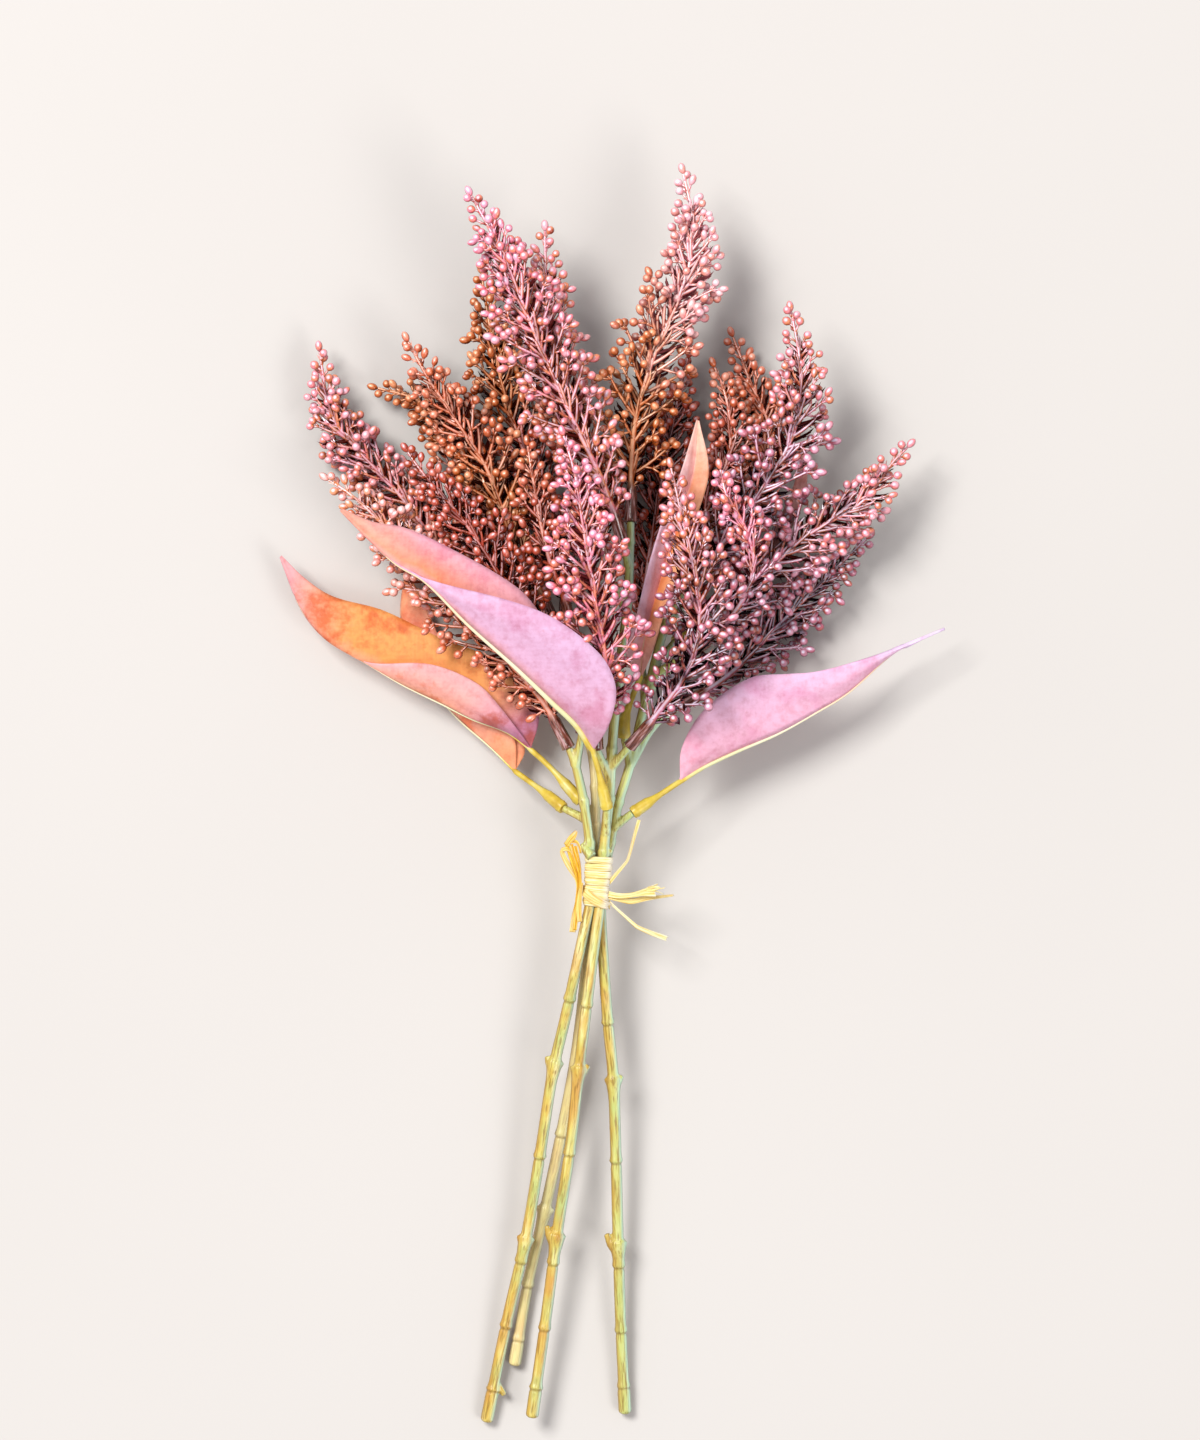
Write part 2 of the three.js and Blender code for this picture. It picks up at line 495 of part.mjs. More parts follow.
function addRaffia({ name, line, width }) {
  const halfWidth = width * Math.SQRT1_2;
  const halfDepth = RAFFIA_THICKNESS * Math.SQRT1_2;
  const steps = 2 * (line.length - 1);
  const stations = Array.from({ length: steps + 1 }, (_, step) => [step / steps, halfWidth, halfDepth]);
  addPiece(name, rod(curveThrough(line.map(vector)), stations, 4, Math.PI / 4), COLOURS.raffia, 0.8);
}

Object.keys(STEMS).forEach(addStem);
SPRAYS.forEach(addSpray);
LEAVES.forEach(addLeaf);
addWrap();
RAFFIA.forEach(addRaffia);

// The whole bunch stands on z = 0, centred in x and y.
const group = new THREE.Group();
group.add(...pieces);
const box = new THREE.Box3().setFromObject(group);
const centre = box.getCenter(new THREE.Vector3());
group.position.set(-centre.x, -centre.y, -box.min.z);

export default group;
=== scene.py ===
# %% [markdown]
# # A tied bunch of imitation dried astilbe sprays, lying on a table
#
# The real bunch has four moulded plastic stems with nineteen seeded sprays pushed onto their side
# shoots, six folded cloth leaves on plastic stalks, and raffia wound round the stems. It lies flat,
# and we look straight down on it. The CAD model gives the place and size of every piece, so the lesson
# starts by loading it, and each fine piece made below takes the place of one CAD node.

# %% Load the frame
import bisect
import math
import random

import bmesh
import bpy
from mathutils import Matrix, Vector
from mathutils.geometry import interpolate_bezier
from mathutils.kdtree import KDTree


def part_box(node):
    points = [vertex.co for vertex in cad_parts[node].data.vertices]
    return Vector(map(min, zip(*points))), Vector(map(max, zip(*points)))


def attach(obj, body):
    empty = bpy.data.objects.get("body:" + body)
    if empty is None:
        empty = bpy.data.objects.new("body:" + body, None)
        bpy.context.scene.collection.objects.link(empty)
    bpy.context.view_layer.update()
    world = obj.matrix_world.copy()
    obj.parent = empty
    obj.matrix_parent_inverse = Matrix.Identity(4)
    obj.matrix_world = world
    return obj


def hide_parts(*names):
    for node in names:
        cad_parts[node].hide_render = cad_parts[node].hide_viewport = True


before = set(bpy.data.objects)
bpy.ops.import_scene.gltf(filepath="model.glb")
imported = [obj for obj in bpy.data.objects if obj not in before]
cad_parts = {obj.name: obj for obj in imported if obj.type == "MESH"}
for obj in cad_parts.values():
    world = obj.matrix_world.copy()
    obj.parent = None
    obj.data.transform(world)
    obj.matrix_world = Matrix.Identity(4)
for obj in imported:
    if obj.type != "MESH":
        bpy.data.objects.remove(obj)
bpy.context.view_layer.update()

MM = 0.001
BODY = "root"
print("CAD nodes:", len(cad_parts))

# %% [markdown]
# ## Where things are
#
# The lines of the stems and the leaves are written in millimetres from a point below the middle of
# the tie: X to the right, Y to the flowers and Z up. The lowest corner of the CAD wrap says where that
# point lies in the frame, so every line lands exactly where the CAD model has it.

# %% The part's own origin
WRAP_LOW_CORNER = Vector((-6.338, -9.6, 20.562)) * MM
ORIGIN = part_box("raffia_wrap")[0] - WRAP_LOW_CORNER


def place(point):
    """A place in the frame, in metres, from millimetres in the part's own frame."""
    return ORIGIN + Vector(point) * MM


print("origin below the tie, in mm:", [round(value / MM, 2) for value in ORIGIN])

# %% [markdown]
# ## Camera, floor and light
#
# The bunch is photographed from straight above, so the camera looks down with the flowers at the top of
# the frame. A long lens from far away keeps near and far pieces at nearly the same scale. The floor is a
# plain pale sheet, so wide that its edge is out of sight from every side. Two large soft panels and a pale
# sky give even studio light with a bright side at the upper left.

# %% Camera, floor and light
FRAME_HEIGHT = 554.4 * MM
FRAME_CENTRE = Vector((-4.54, 29.03, 22.0)) * MM
LENS = 240.0
SENSOR = 36.0
FLOOR_SIZE = 12.0
SKY_STRENGTH = 0.52
scene = bpy.context.scene
scene.view_settings.view_transform = "Standard"


def hex_colour(text):
    """Linear red, green, blue and alpha from an sRGB hex value."""
    shares = [int(text[start:start + 2], 16) / 255 for start in (1, 3, 5)]
    linear = [share / 12.92 if share <= 0.04045 else ((share + 0.055) / 1.055) ** 2.4 for share in shares]
    return (*linear, 1.0)


def deselect():
    bpy.ops.object.select_all(action="DESELECT")


deselect()
bpy.ops.object.camera_add(location=(0, 0, 1), rotation=(0, 0, 0))
camera = bpy.context.object
camera.data.lens = LENS
camera.data.sensor_width = SENSOR
camera.location = FRAME_CENTRE + Vector((0, 0, FRAME_HEIGHT * LENS / SENSOR))
scene.camera = camera

bpy.ops.mesh.primitive_plane_add(size=FLOOR_SIZE, location=(0, 0, 0))
floor = bpy.context.object
floor.name = "floor"


def panel_light(name, location, size, power):
    """A square soft light that faces the middle of the bunch."""
    bpy.ops.object.light_add(type="AREA", location=location)
    lamp = bpy.context.object
    lamp.name = name
    lamp.data.size = size
    lamp.data.energy = power
    lamp.rotation_euler = (FRAME_CENTRE - Vector(location)).to_track_quat("-Z", "Y").to_euler()


panel_light("key_panel", location=(-1.9, 1.7, 3.8), size=1.7, power=205)
panel_light("fill_panel", location=(1.9, -1.5, 2.8), size=1.4, power=45)
world = bpy.data.worlds.new("pale_sky")
scene.world = world
world.use_nodes = True
sky = world.node_tree.nodes["Background"].inputs
sky["Color"].default_value = hex_colour("#efeef6")
sky["Strength"].default_value = SKY_STRENGTH
print("camera height in mm:", round(camera.location.z / MM))

# %% [markdown]
# ## Small helpers
#
# A few steps come back for every piece: picking objects, joining them, storing numbers in a mesh, adding a
# node to a material and laying one paint over another. They are written once here, and everything else
# is said where it is needed. Paint goes on in layers, as by hand. Each layer follows something, such as a
# noise or the way a face points, from the value where it starts to the value where it is full, and has a
# least and a greatest share of the colour.

# %% Helpers for objects and nodes
def pick(*objects):
    """Select only these objects, with the first one active."""
    deselect()
    for item in objects:
        item.select_set(True)
    bpy.context.view_layer.objects.active = objects[0]


def join(objects, name):
    """One object with one mesh from several, at the origin and unturned."""
    pick(*objects)
    if len(objects) > 1:
        bpy.ops.object.join()
    whole = bpy.context.object
    whole.name = name
    whole.data.name = name
    bpy.ops.object.transform_apply(location=True, rotation=True, scale=True)
    return whole


def copy_of(original, matrix):
    """A copy with a mesh of its own, moved by the matrix."""
    twin = original.copy()
    twin.data = original.data.copy()
    scene.collection.objects.link(twin)
    twin.matrix_world = matrix
    return twin


def add_modifier(piece, kind, **settings):
    """Add one modifier, set it and apply it."""
    pick(piece)
    bpy.ops.object.modifier_add(type=kind)
    modifier = piece.modifiers[-1]
    for key, value in settings.items():
        setattr(modifier, key, value)
    bpy.ops.object.modifier_apply(modifier=modifier.name)


def mark(piece, name, values):
    """Store one number for each point of the mesh, which the material reads."""
    layer = piece.data.attributes.get(name) or piece.data.attributes.new(name, "FLOAT", "POINT")
    if not hasattr(values, "__len__"):
        values = [values] * len(piece.data.vertices)
    layer.data.foreach_set("value", values)


def finish_piece(piece, node, material):
    """Give a finished piece its material, and say what it stands for and rides on."""
    piece.data.materials.clear()
    piece.data.materials.append(material)
    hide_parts(node)
    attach(piece, BODY)


def read_marks(piece, name):
    """The numbers stored under this name, one for each point."""
    values = [0.0] * len(piece.data.vertices)
    piece.data.attributes[name].data.foreach_get("value", values)
    return values


def set_inputs(node, inputs):
    """Give a node its inputs: numbers, hex colours, outputs, or a node, whose first live output is linked."""
    for key, value in dict(inputs).items():
        if isinstance(value, bpy.types.Node):
            value = next(output for output in value.outputs if output.enabled)
        if isinstance(value, bpy.types.NodeSocket):
            node.id_data.links.new(value, node.inputs[key])
        else:
            node.inputs[key].default_value = hex_colour(value) if isinstance(value, str) else value


def add_node(tree, kind, inputs=(), settings=(), stops=()):
    """Add one node with its inputs, its settings and a ramp's colour stops."""
    added = tree.nodes.new("ShaderNode" + kind)
    for key, value in dict(settings).items():
        setattr(added, key, value)
    set_inputs(added, inputs)
    for index, (position, colour) in enumerate(stops):
        elements = added.color_ramp.elements
        element = elements[index] if index < 2 else elements.new(position)
        element.position = position
        element.color = hex_colour(colour)
    return added


def paint_over(tree, colour, layers):
    """Lay paints over a colour: what each follows, where it starts and is full, its shares, and its paint."""
    for source, start, full, least, most, paint, *blend in layers:
        share = add_node(tree, "MapRange", {"Value": source, "From Min": start, "From Max": full,
                                            "To Min": least, "To Max": most})
        colour = add_node(tree, "Mix", {0: share, 6: colour, 7: paint},
                          {"data_type": "RGBA", "blend_type": blend[0] if blend else "MIX"})
    return colour


def new_material(name, **values):
    """An empty material: its node tree and its Principled shader with fixed values set."""
    material = bpy.data.materials.new(name)
    material.use_nodes = True
    shader = material.node_tree.nodes["Principled BSDF"]
    set_inputs(shader, {key.replace("_", " "): value for key, value in values.items()})
    return material, material.node_tree, shader


material, tree, shader = new_material("paper_sheet_matt", Roughness=0.9)
coords = add_node(tree, "TexCoord").outputs["Object"]
grain = add_node(tree, "TexNoise", {"Vector": coords, "Scale": 3.0})
tone = add_node(tree, "ValToRGB", {"Fac": grain}, stops=[(0.3, "#cdc8c2"), (0.7, "#d0cbc5")])
set_inputs(shader, {"Base Color": tone})
floor.data.materials.append(material)
print("floor material:", material.name, "with nodes:", len(tree.nodes))

# %% [markdown]
# ## Lines to grow along
#
# A stem or a spray is a shape along a bent line. A route here is a smooth line through a few points
# that can be asked for its place and its heading at any distance. Blender's own Bezier helper does the
# curve, with slopes weighted by the distance between the points, so uneven points give no wiggles.

# %% Routes
class Route:
    """A smooth line that gives its place and heading at a distance from its start."""

    def __init__(self, points, step=1.5 * MM):
        chords = [(end - start).length for start, end in zip(points, points[1:])]
        slopes = [(points[1] - points[0]) / chords[0]]
        for index in range(1, len(points) - 1):
            slopes.append((points[index + 1] - points[index - 1]) / (chords[index - 1] + chords[index]))
        slopes.append((points[-1] - points[-2]) / chords[-1])
        self.points = []
        knot_places = [0]
        for index, chord in enumerate(chords):
            start, end = points[index], points[index + 1]
            leave = start + slopes[index] * chord / 3
            arrive = end - slopes[index + 1] * chord / 3
            count = max(2, math.ceil(chord / step) + 1)
            self.points += interpolate_bezier(start, leave, arrive, end, count)[:-1]
            knot_places.append(len(self.points))
        self.points.append(points[-1])
        self.marks = [0.0]
        for start, end in zip(self.points, self.points[1:]):
            self.marks.append(self.marks[-1] + (end - start).length)
        self.length = self.marks[-1]
        self.knots = [self.marks[index] for index in knot_places]

    def between_knots(self, share):
        """The place at a share of the way counted in the given points, not in length."""
        index = min(int(share * (len(self.knots) - 1)), len(self.knots) - 2)
        part = share * (len(self.knots) - 1) - index
        return self.at(self.knots[index] + part * (self.knots[index + 1] - self.knots[index]))[0]

    def at(self, distance):
        """The place and the heading at a distance from the start."""
        index = min(max(bisect.bisect(self.marks, distance) - 1, 0), len(self.points) - 2)
        start, end = self.points[index], self.points[index + 1]
        share = (distance - self.marks[index]) / (self.marks[index + 1] - self.marks[index])
        return start.lerp(end, share), (end - start).normalized()


def level_side(heading):
    """The level direction square to a heading."""
    return heading.cross(Vector((0, 0, 1))).normalized()


def rod(name, stations, roundness=1):
    """A round rod through (place, radius) stations: a bevelled curve turned into a mesh."""
    deselect()
    bpy.ops.curve.primitive_nurbs_path_add()
    path = bpy.context.object
    path.data.splines.clear()
    spline = path.data.splines.new("POLY")
    spline.points.add(len(stations) - 1)
    for point, (spot, radius) in zip(spline.points, stations):
        point.co = (*spot, 1)
        point.radius = radius
    path.data.bevel_depth = 1
    path.data.bevel_resolution = roundness
    path.data.use_fill_caps = True
    path.name = name
    bpy.ops.object.convert(target="MESH")
    path = bpy.context.object
    bpy.ops.object.transform_apply(location=True, rotation=True, scale=True)
    bpy.ops.object.shade_smooth()
    return path


test_line = Route([place(spot) for spot in ((0, 0, 0), (0, 50, 0), (30, 90, 0))])
print("a bent test line, in mm:", round(test_line.length / MM, 1))

# %% [markdown]
# ## Reading the CAD rings
#
# Each spray, stalk and raffia end of the CAD model is a rod: rings of points with one closing point at
# each end. Walking the mesh edges outwards from the closing point nearest the tie gives the rings in
# order, and with them the centre line and the width at each place.

# %% Walk the rings of a CAD rod
TIE_CENTRE = (0, 0, 27)
RING_SIDES = 8


def ring_walk(node):
    """The rings of a rod-like CAD node in order, from the end nearest the tie."""
    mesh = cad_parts[node].data
    spots = {}
    merged = [spots.setdefault(tuple(round(value, 6) for value in vertex.co), len(spots))
              for vertex in mesh.vertices]
    places = [Vector(spot) for spot in spots]
    neighbours = [set() for _ in places]
    for edge in mesh.edges:
        start, end = (merged[index] for index in edge.vertices)
        if start != end:
            neighbours[start].add(end)
            neighbours[end].add(start)
    closing = [index for index, around in enumerate(neighbours) if len(around) == RING_SIDES]
    tie = place(TIE_CENTRE)
    ring = [min(closing, key=lambda index: (places[index] - tie).length)]
    seen = set(ring)
    rings = []
    while True:
        ring = sorted({index for old in ring for index in neighbours[old]} - seen)
        if len(ring) < RING_SIDES:
            return rings
        seen.update(ring)
        rings.append([places[index] for index in ring])


def ring_centre(ring):
    return sum(ring, Vector()) / len(ring)


print("rings of the first spray:", len(ring_walk("spray_01_tall_left")))

# %% [markdown]
# ## The stems: moulded polyethylene with a painted wash
#
# Each stem is one moulding. It has a thick plug at the cut end, thin rings with a groove below them like
# the joints of a cane, and softer rings above the tie. Above a swollen collar stand two thorn-like ears,
# one on each side, of which one is large and the other hardly there. Side shoots carry the sprays and
# leaves, and a few were trimmed to stubs. A rod could be swept for each, but the shoots have to melt
# into the stem as they do in a mould. So the stem, its shoots, stubs and ears are made as separate rods,
# joined, and remeshed into one skin that is then smoothed.

# %% The lines of the stems, in millimetres from below the tie
STEM_LINES = {
    "stem_left": [
        (-42.8, -208.6, 2.6), (-35, -170, 6.5), (-27.3, -136, 10.5), (-21.6, -102, 14.5), (-16.9, -72, 18.5),
        (-11.6, -49, 22), (-5, -18, 26.8), (-3, -9, 28), (-2, 0, 28.9), (-2.4, 11, 30),
        (-5, 31.6, 31), (-8.3, 46.5, 31)],
    "stem_left_short": [
        (-32, -186.8, 2.6), (-26.5, -154, 3.4), (-19.6, -124, 6.5), (-13.5, -95, 10), (-8.5, -68, 13.4),
        (-5, -40, 17.6), (-3.2, -16, 22.6), (-2.7, -9, 23.9), (-2, 0, 24.9), (-1.2, 11, 25.6),
        (-0.6, 23, 25), (-0.8, 41, 23.6), (-3, 56, 22.4), (-8, 76, 20.6), (-13, 90, 19)],
    "stem_middle": [
        (-25.2, -206.4, 10), (-20, -170, 13.2), (-15.4, -135, 16.4), (-10.4, -102, 19.8), (-6.9, -71, 22.4),
        (-4, -47, 25), (0, -16, 27.8), (1, -9, 28.5), (2, 0, 29.1), (2.5, 11, 30.4), (3.6, 23, 32),
        (5, 36, 33), (5.8, 52.7, 34), (6.9, 66, 35), (8.5, 82, 36), (10, 94, 36), (11.9, 109, 35),
        (12.7, 131, 34)],
    "stem_right": [
        (10.9, -205.4, 2.6), (9.2, -170.6, 6.5), (8.1, -135.5, 10.5), (7.3, -104, 14), (6.2, -74, 17.4),
        (4, -51, 19.6), (1.8, -18, 23.4), (1.5, -9, 24.3), (2.1, 0, 25.1), (4, 11, 26.2),
        (6.7, 24.3, 27.6), (8.1, 31, 28.4), (11.6, 42, 28.6), (13.9, 50.4, 28), (17.5, 66, 25),
        (22.5, 86, 21.6), (27, 103, 20)],
}
# Distances from the cut end, in millimetres: the plug's end and the joints, then the rings above the tie.
JOINTS = {
    "stem_left": (13.4, 38.4, 64.5, 106, 168.6), "stem_left_short": (10.7, 31.7, 92),
    "stem_middle": (12.1, 35.2, 61, 104, 162), "stem_right": (11.2, 32.7, 58.1, 99, 153)}
UPPER_JOINTS = {
    "stem_left": (231, 247), "stem_left_short": (214, 229, 246),
    "stem_middle": (222, 243, 262, 288), "stem_right": (224, 240, 262)}
# Each collar: its distance, the side of its large ear, -1 left or 1 right, and that ear's size, up to 1.
EARS = {
    "stem_left": ((74, -1, 0.1), (143.7, -1, 0.4)), "stem_left_short": ((62.7, -1, 0.1),),
    "stem_middle": ((72, -1, 0.9), (137.6, 1, 0.4)), "stem_right": ((67.4, -1, 1.0), (131.3, 1, 0.3))}
# Trimmed side shoots and a torn flake: two ends in millimetres from below the tie, and the radius.
STUBS = {
    "stem_left": [((-5.6, 15.4, 30.4), (-2, 10.6, 32.6), 2.3), ((-39, -192, 4), (-35.8, -198, 4), 1.3)],
    "stem_middle": [((3, 9.6, 30.4), (5.6, 13.4, 31), 1.1), ((3.2, 23, 32.6), (5, 22.4, 32.8), 1.9)]}

# Where each side shoot leaves its stem. It ends at the foot of the piece that it carries.
SHOOTS = {
    "stem_left": {
        "spray_06_front_left": [(-8.2, 45, 31)], "spray_07_low_left": [(-8.3, 46.5, 31)],
        "leaf_03_left_low_stalk": [(-4.2, 25, 29.4)]},
    "stem_left_short": {
        "spray_08_far_left": [(-6.4, 70, 21.2)], "spray_09_upper_left": [(-11.4, 86, 19.4)],
        "spray_10_back_left": [(-10.4, 83, 19.6)], "spray_11_back_tall": [(-13, 90, 19)],
        "spray_19_inner_left": [(-12.2, 88, 19.2)], "leaf_02_left_stalk": [(-0.5, 25, 24)]},
    "stem_middle": {
        "spray_01_tall_left": [(12.4, 122, 34.4)], "spray_02_tall_right": [(12.7, 131, 34)],
        "spray_03_tall_centre": [(11.4, 105, 35.3)], "spray_04_front_centre": [(5.2, 40, 33.3)],
        "spray_05_front_right": [(5.5, 45, 33.7)], "leaf_01_front_stalk": [(3.4, 20, 32.2)]},
    "stem_right": {
        "spray_12_upper_right": [(27, 103, 20)], "spray_13_back_right": [(25.6, 98, 20.4)],
        "spray_14_inner_right": [(26.4, 101, 20.1)], "spray_15_top_right": [(21, 80, 22.4)],
        "spray_16_far_right": [(19.6, 74, 23.6)],
        "spray_17_low_right": [(12.8, 46, 28.4), (21.9, 60.8, 25)],
        "spray_18_back_centre": [(18.7, 71, 24)], "leaf_04_right_stalk": [(6.6, 22, 27.8)],
        "leaf_05_middle_stalk": [(12.8, 46, 28.5)], "leaf_06_back_right_stalk": [(22, 84, 21.8)]},
}
print("shoots of each stem:", {node: len(carried) for node, carried in SHOOTS.items()})

# %% Model the stems
STEM_RADIUS = 2.25 * MM
STEM_TOP_RADIUS = 1.8 * MM
END_ROUNDING = 1.4 * MM
PLUG_RISE = 0.35 * MM
GROOVE = 0.4 * MM
GROOVE_WIDTH = 0.5 * MM
# Each kind of ring: how far it rises, and how wide it is below and above its top.
JOINT_RISE, JOINT_BELOW, JOINT_ABOVE = 0.42 * MM, 0.6 * MM, 1.6 * MM
UPPER_RISE, UPPER_BELOW, UPPER_ABOVE = 0.45 * MM, 2.4 * MM, 0.6 * MM
COLLAR_RISE, COLLAR_BELOW, COLLAR_ABOVE = 1.1 * MM, 5.2 * MM, 0.9 * MM
EAR_LENGTH = 3.4 * MM
EAR_RADIUS = 1.75 * MM
SMALL_EAR = 0.1
EAR_BULGE = 0.7 * MM
EAR_GAP = 0.6 * MM
EAR_SPREAD = 1.6 * MM
# How far below its collar an ear starts and bends, in millimetres.
EAR_FOOT = 4.5
EAR_BEND = 0.6
SHOOT_RADIUS = 1.6 * MM
SHOOT_SWELL = 0.6 * MM
SHOOT_STEPS = 14
STEM_STEP = 0.6 * MM
SKIN_SIZE = 0.45 * MM


def bump(distance, centre, before, after):
    """A soft rise of height one that reaches out by one width before and another after its centre."""
    width = before if distance < centre else after
    return math.exp(-((distance - centre) / width) ** 2)


def stem_radius(distance, length, joints, upper_joints, ears):
    """The stem's radius at a distance from its cut end."""
    above = max(0.0, (distance - joints[-1] * MM) / (length - joints[-1] * MM))
    radius = STEM_RADIUS + (STEM_TOP_RADIUS - STEM_RADIUS) * above
    if distance < joints[0] * MM:
        radius += PLUG_RISE
    for joint in joints:
        radius += JOINT_RISE * bump(distance, joint * MM, JOINT_BELOW, JOINT_ABOVE)
        radius -= GROOVE * bump(distance, (joint - 1) * MM, GROOVE_WIDTH, GROOVE_WIDTH)
    for joint in upper_joints:
        radius += UPPER_RISE * bump(distance, joint * MM, UPPER_BELOW, UPPER_ABOVE)
    for ear, _, size in ears:
        radius += COLLAR_RISE * (0.6 + 0.4 * size) * bump(distance, ear * MM, COLLAR_BELOW, COLLAR_ABOVE)
    rounding = max(0.0, 1 - distance / END_ROUNDING)
    return radius * math.sqrt(1 - 0.75 * rounding ** 2)


def mark_streaks(piece, route):
    """Store how far across and along its line each point lies, so that streaks can follow it."""
    search = KDTree(len(route.points))
    for index, point in enumerate(route.points):
        search.insert(point, index)
    search.balance()
    across, along = [], []
    for vertex in piece.data.vertices:
        index = min(search.find(vertex.co)[1], len(route.points) - 2)
        heading = (route.points[index + 1] - route.points[index]).normalized()
        gap = vertex.co - route.points[index]
        across.append(gap.dot(level_side(heading)))
        along.append(route.marks[index] + gap.dot(heading))
    mark(piece, "across", across)
    mark(piece, "along", along)


def model_ears(route, distance, large_side, large_size):
    """The two ears of a collar, as rods that bend out of the stem and point up along it."""
    spot, heading = route.at(distance * MM)
    ears = []
    for sign in (-1, 1):
        side = level_side(heading) * sign
        size = large_size if sign == large_side else SMALL_EAR
        foot = spot + side * STEM_RADIUS * 0.3 - heading * EAR_FOOT * MM
        bend = spot + side * (STEM_RADIUS + EAR_BULGE * size) - heading * EAR_BEND * MM
        tip = spot + side * (STEM_RADIUS + EAR_GAP + EAR_SPREAD * size) + heading * EAR_LENGTH * size
        radius = EAR_RADIUS * (0.7 + 0.3 * size)
        ears.append(rod("ear", [(foot, radius), (bend, radius), (tip, 0.7 * radius)]))
    return ears


def model_shoot(carried, starts):
    """A side shoot, thicker where it leaves the stem, that ends at the foot of the piece it carries."""
    seat = ring_centre(ring_walk(carried)[0])
    line = Route([place(point) for point in starts] + [seat])
    stations = []
    for index in range(SHOOT_STEPS + 1):
        share = index / SHOOT_STEPS
        stations.append((line.at(line.length * share)[0], SHOOT_RADIUS + SHOOT_SWELL * (1 - share) ** 3))
    return rod("shoot", stations, 2)


def model_stem(node):
    """One stem with its shoots and ears, as one moulded skin."""
    joints, upper_joints, ears = JOINTS[node], UPPER_JOINTS[node], EARS[node]
    route = Route([place(point) for point in STEM_LINES[node]])
    count = round(route.length / STEM_STEP)
    stations = []
    for index in range(count + 1):
        distance = route.length * index / count
        radius = stem_radius(distance, route.length, joints, upper_joints, ears)
        stations.append((route.at(distance)[0], radius))
    parts = [rod(node + "_rod", stations, 3)]
    for ear in ears:
        parts += model_ears(route, *ear)
    for start, end, radius in STUBS.get(node, ()):
        parts.append(rod("stub", [(place(start), radius * MM * 0.8), (place(end), radius * MM)]))
    parts += [model_shoot(carried, starts) for carried, starts in SHOOTS[node].items()]
    stem = join(parts, node + "_moulded")
    add_modifier(stem, "REMESH", mode="VOXEL", voxel_size=SKIN_SIZE)
    add_modifier(stem, "SMOOTH", factor=0.5, iterations=3)
    bpy.ops.object.shade_smooth()
    mark_streaks(stem, route)
    # Where the painted shade of the grooves lies.
    mark(stem, "groove", [max(bump(distance, (joint - 0.9) * MM, GROOVE_WIDTH, GROOVE_WIDTH)
                              for joint in joints) for distance in read_marks(stem, "along")])
    mark(stem, "tint", float(node == "stem_left_short"))
    return stem


stems = {node: model_stem(node) for node in STEM_LINES}
for node, stem in stems.items():
    print(node, "faces:", len(stem.data.polygons))

# %% [markdown]
# ## The stem material: polyethylene, moulded and then brushed with a thin brown wash
#
# The moulded plastic is yellow-green, with fine ridges along it. A golden brown wash lies in long uneven
# streaks and between the ridges. The streaks are noise that is stretched along each stem: 2 mm across and
# several centimetres long, and the ridges are about 0.7 mm across. Over the wash come patches of green,
# most of all on the right stem, and patches of ochre on the others. The part above the tie is greener.
# The right side of each stem has a pale mint painted highlight, wider above the tie, and the left side is
# painted a little gold and darker as painted shade. The short stem is painted paler, as painted light, since
# it lies in the shade of the other stems. What faces sideways is painted darker as painted shade, and so are
# the grooves.

# %% Stem material
STREAK_STRETCH = 0.03
# Heights above the middle of the tie, in millimetres.
TIE_TOP = 5
RIGHT_HIGHLIGHT_WIDEST = 32.1
GREENEST = 70
material, tree, shader = new_material("polyethylene_moulded_washed_gold", Roughness=0.34, IOR=1.5)
coords = add_node(tree, "TexCoord").outputs["Object"]
spot = add_node(tree, "SeparateXYZ", {"Vector": coords}).outputs
facing = add_node(tree, "SeparateXYZ", {"Vector": add_node(tree, "NewGeometry").outputs["Normal"]}).outputs
across, along, short, groove = [add_node(tree, "Attribute", settings={"attribute_name": name}).outputs["Fac"]
                                for name in ("across", "along", "tint", "groove")]
shortened = add_node(tree, "Math", {0: along, 1: STREAK_STRETCH}, {"operation": "MULTIPLY"})
lengthwise = add_node(tree, "CombineXYZ", {"X": across, "Y": shortened, "Z": spot["Z"]})
streaks = add_node(tree, "TexNoise", {"Vector": lengthwise, "Scale": 420.0, "Detail": 4.0})
ridges = add_node(tree, "TexNoise", {"Vector": lengthwise, "Scale": 1400.0, "Detail": 2.0})
patches = add_node(tree, "TexNoise", {"Vector": coords, "Scale": 55.0, "Detail": 3.0})
wash = add_node(tree, "ValToRGB", {"Fac": streaks},
                stops=[(0.3, "#ad7c2a"), (0.42, "#caa442"), (0.54, "#d9c460"), (0.68, "#f0e6a4")])
rightward = add_node(tree, "MapRange", {"Value": spot["X"], "From Min": place((2, 0, 0)).x,
                                        "From Max": place((12, 0, 0)).x, "To Max": 0.75})
ochre_most = add_node(tree, "MapRange", {"Value": rightward, "From Max": 0.5, "To Min": 0.75, "To Max": 0.1})
right_highlight_start = add_node(tree, "MapRange", {"Value": spot["Y"], "From Min": place((0, TIE_TOP, 0)).y,
                                         "From Max": place((0, RIGHT_HIGHLIGHT_WIDEST, 0)).y,
                                         "To Min": 0.45, "To Max": 0.0})
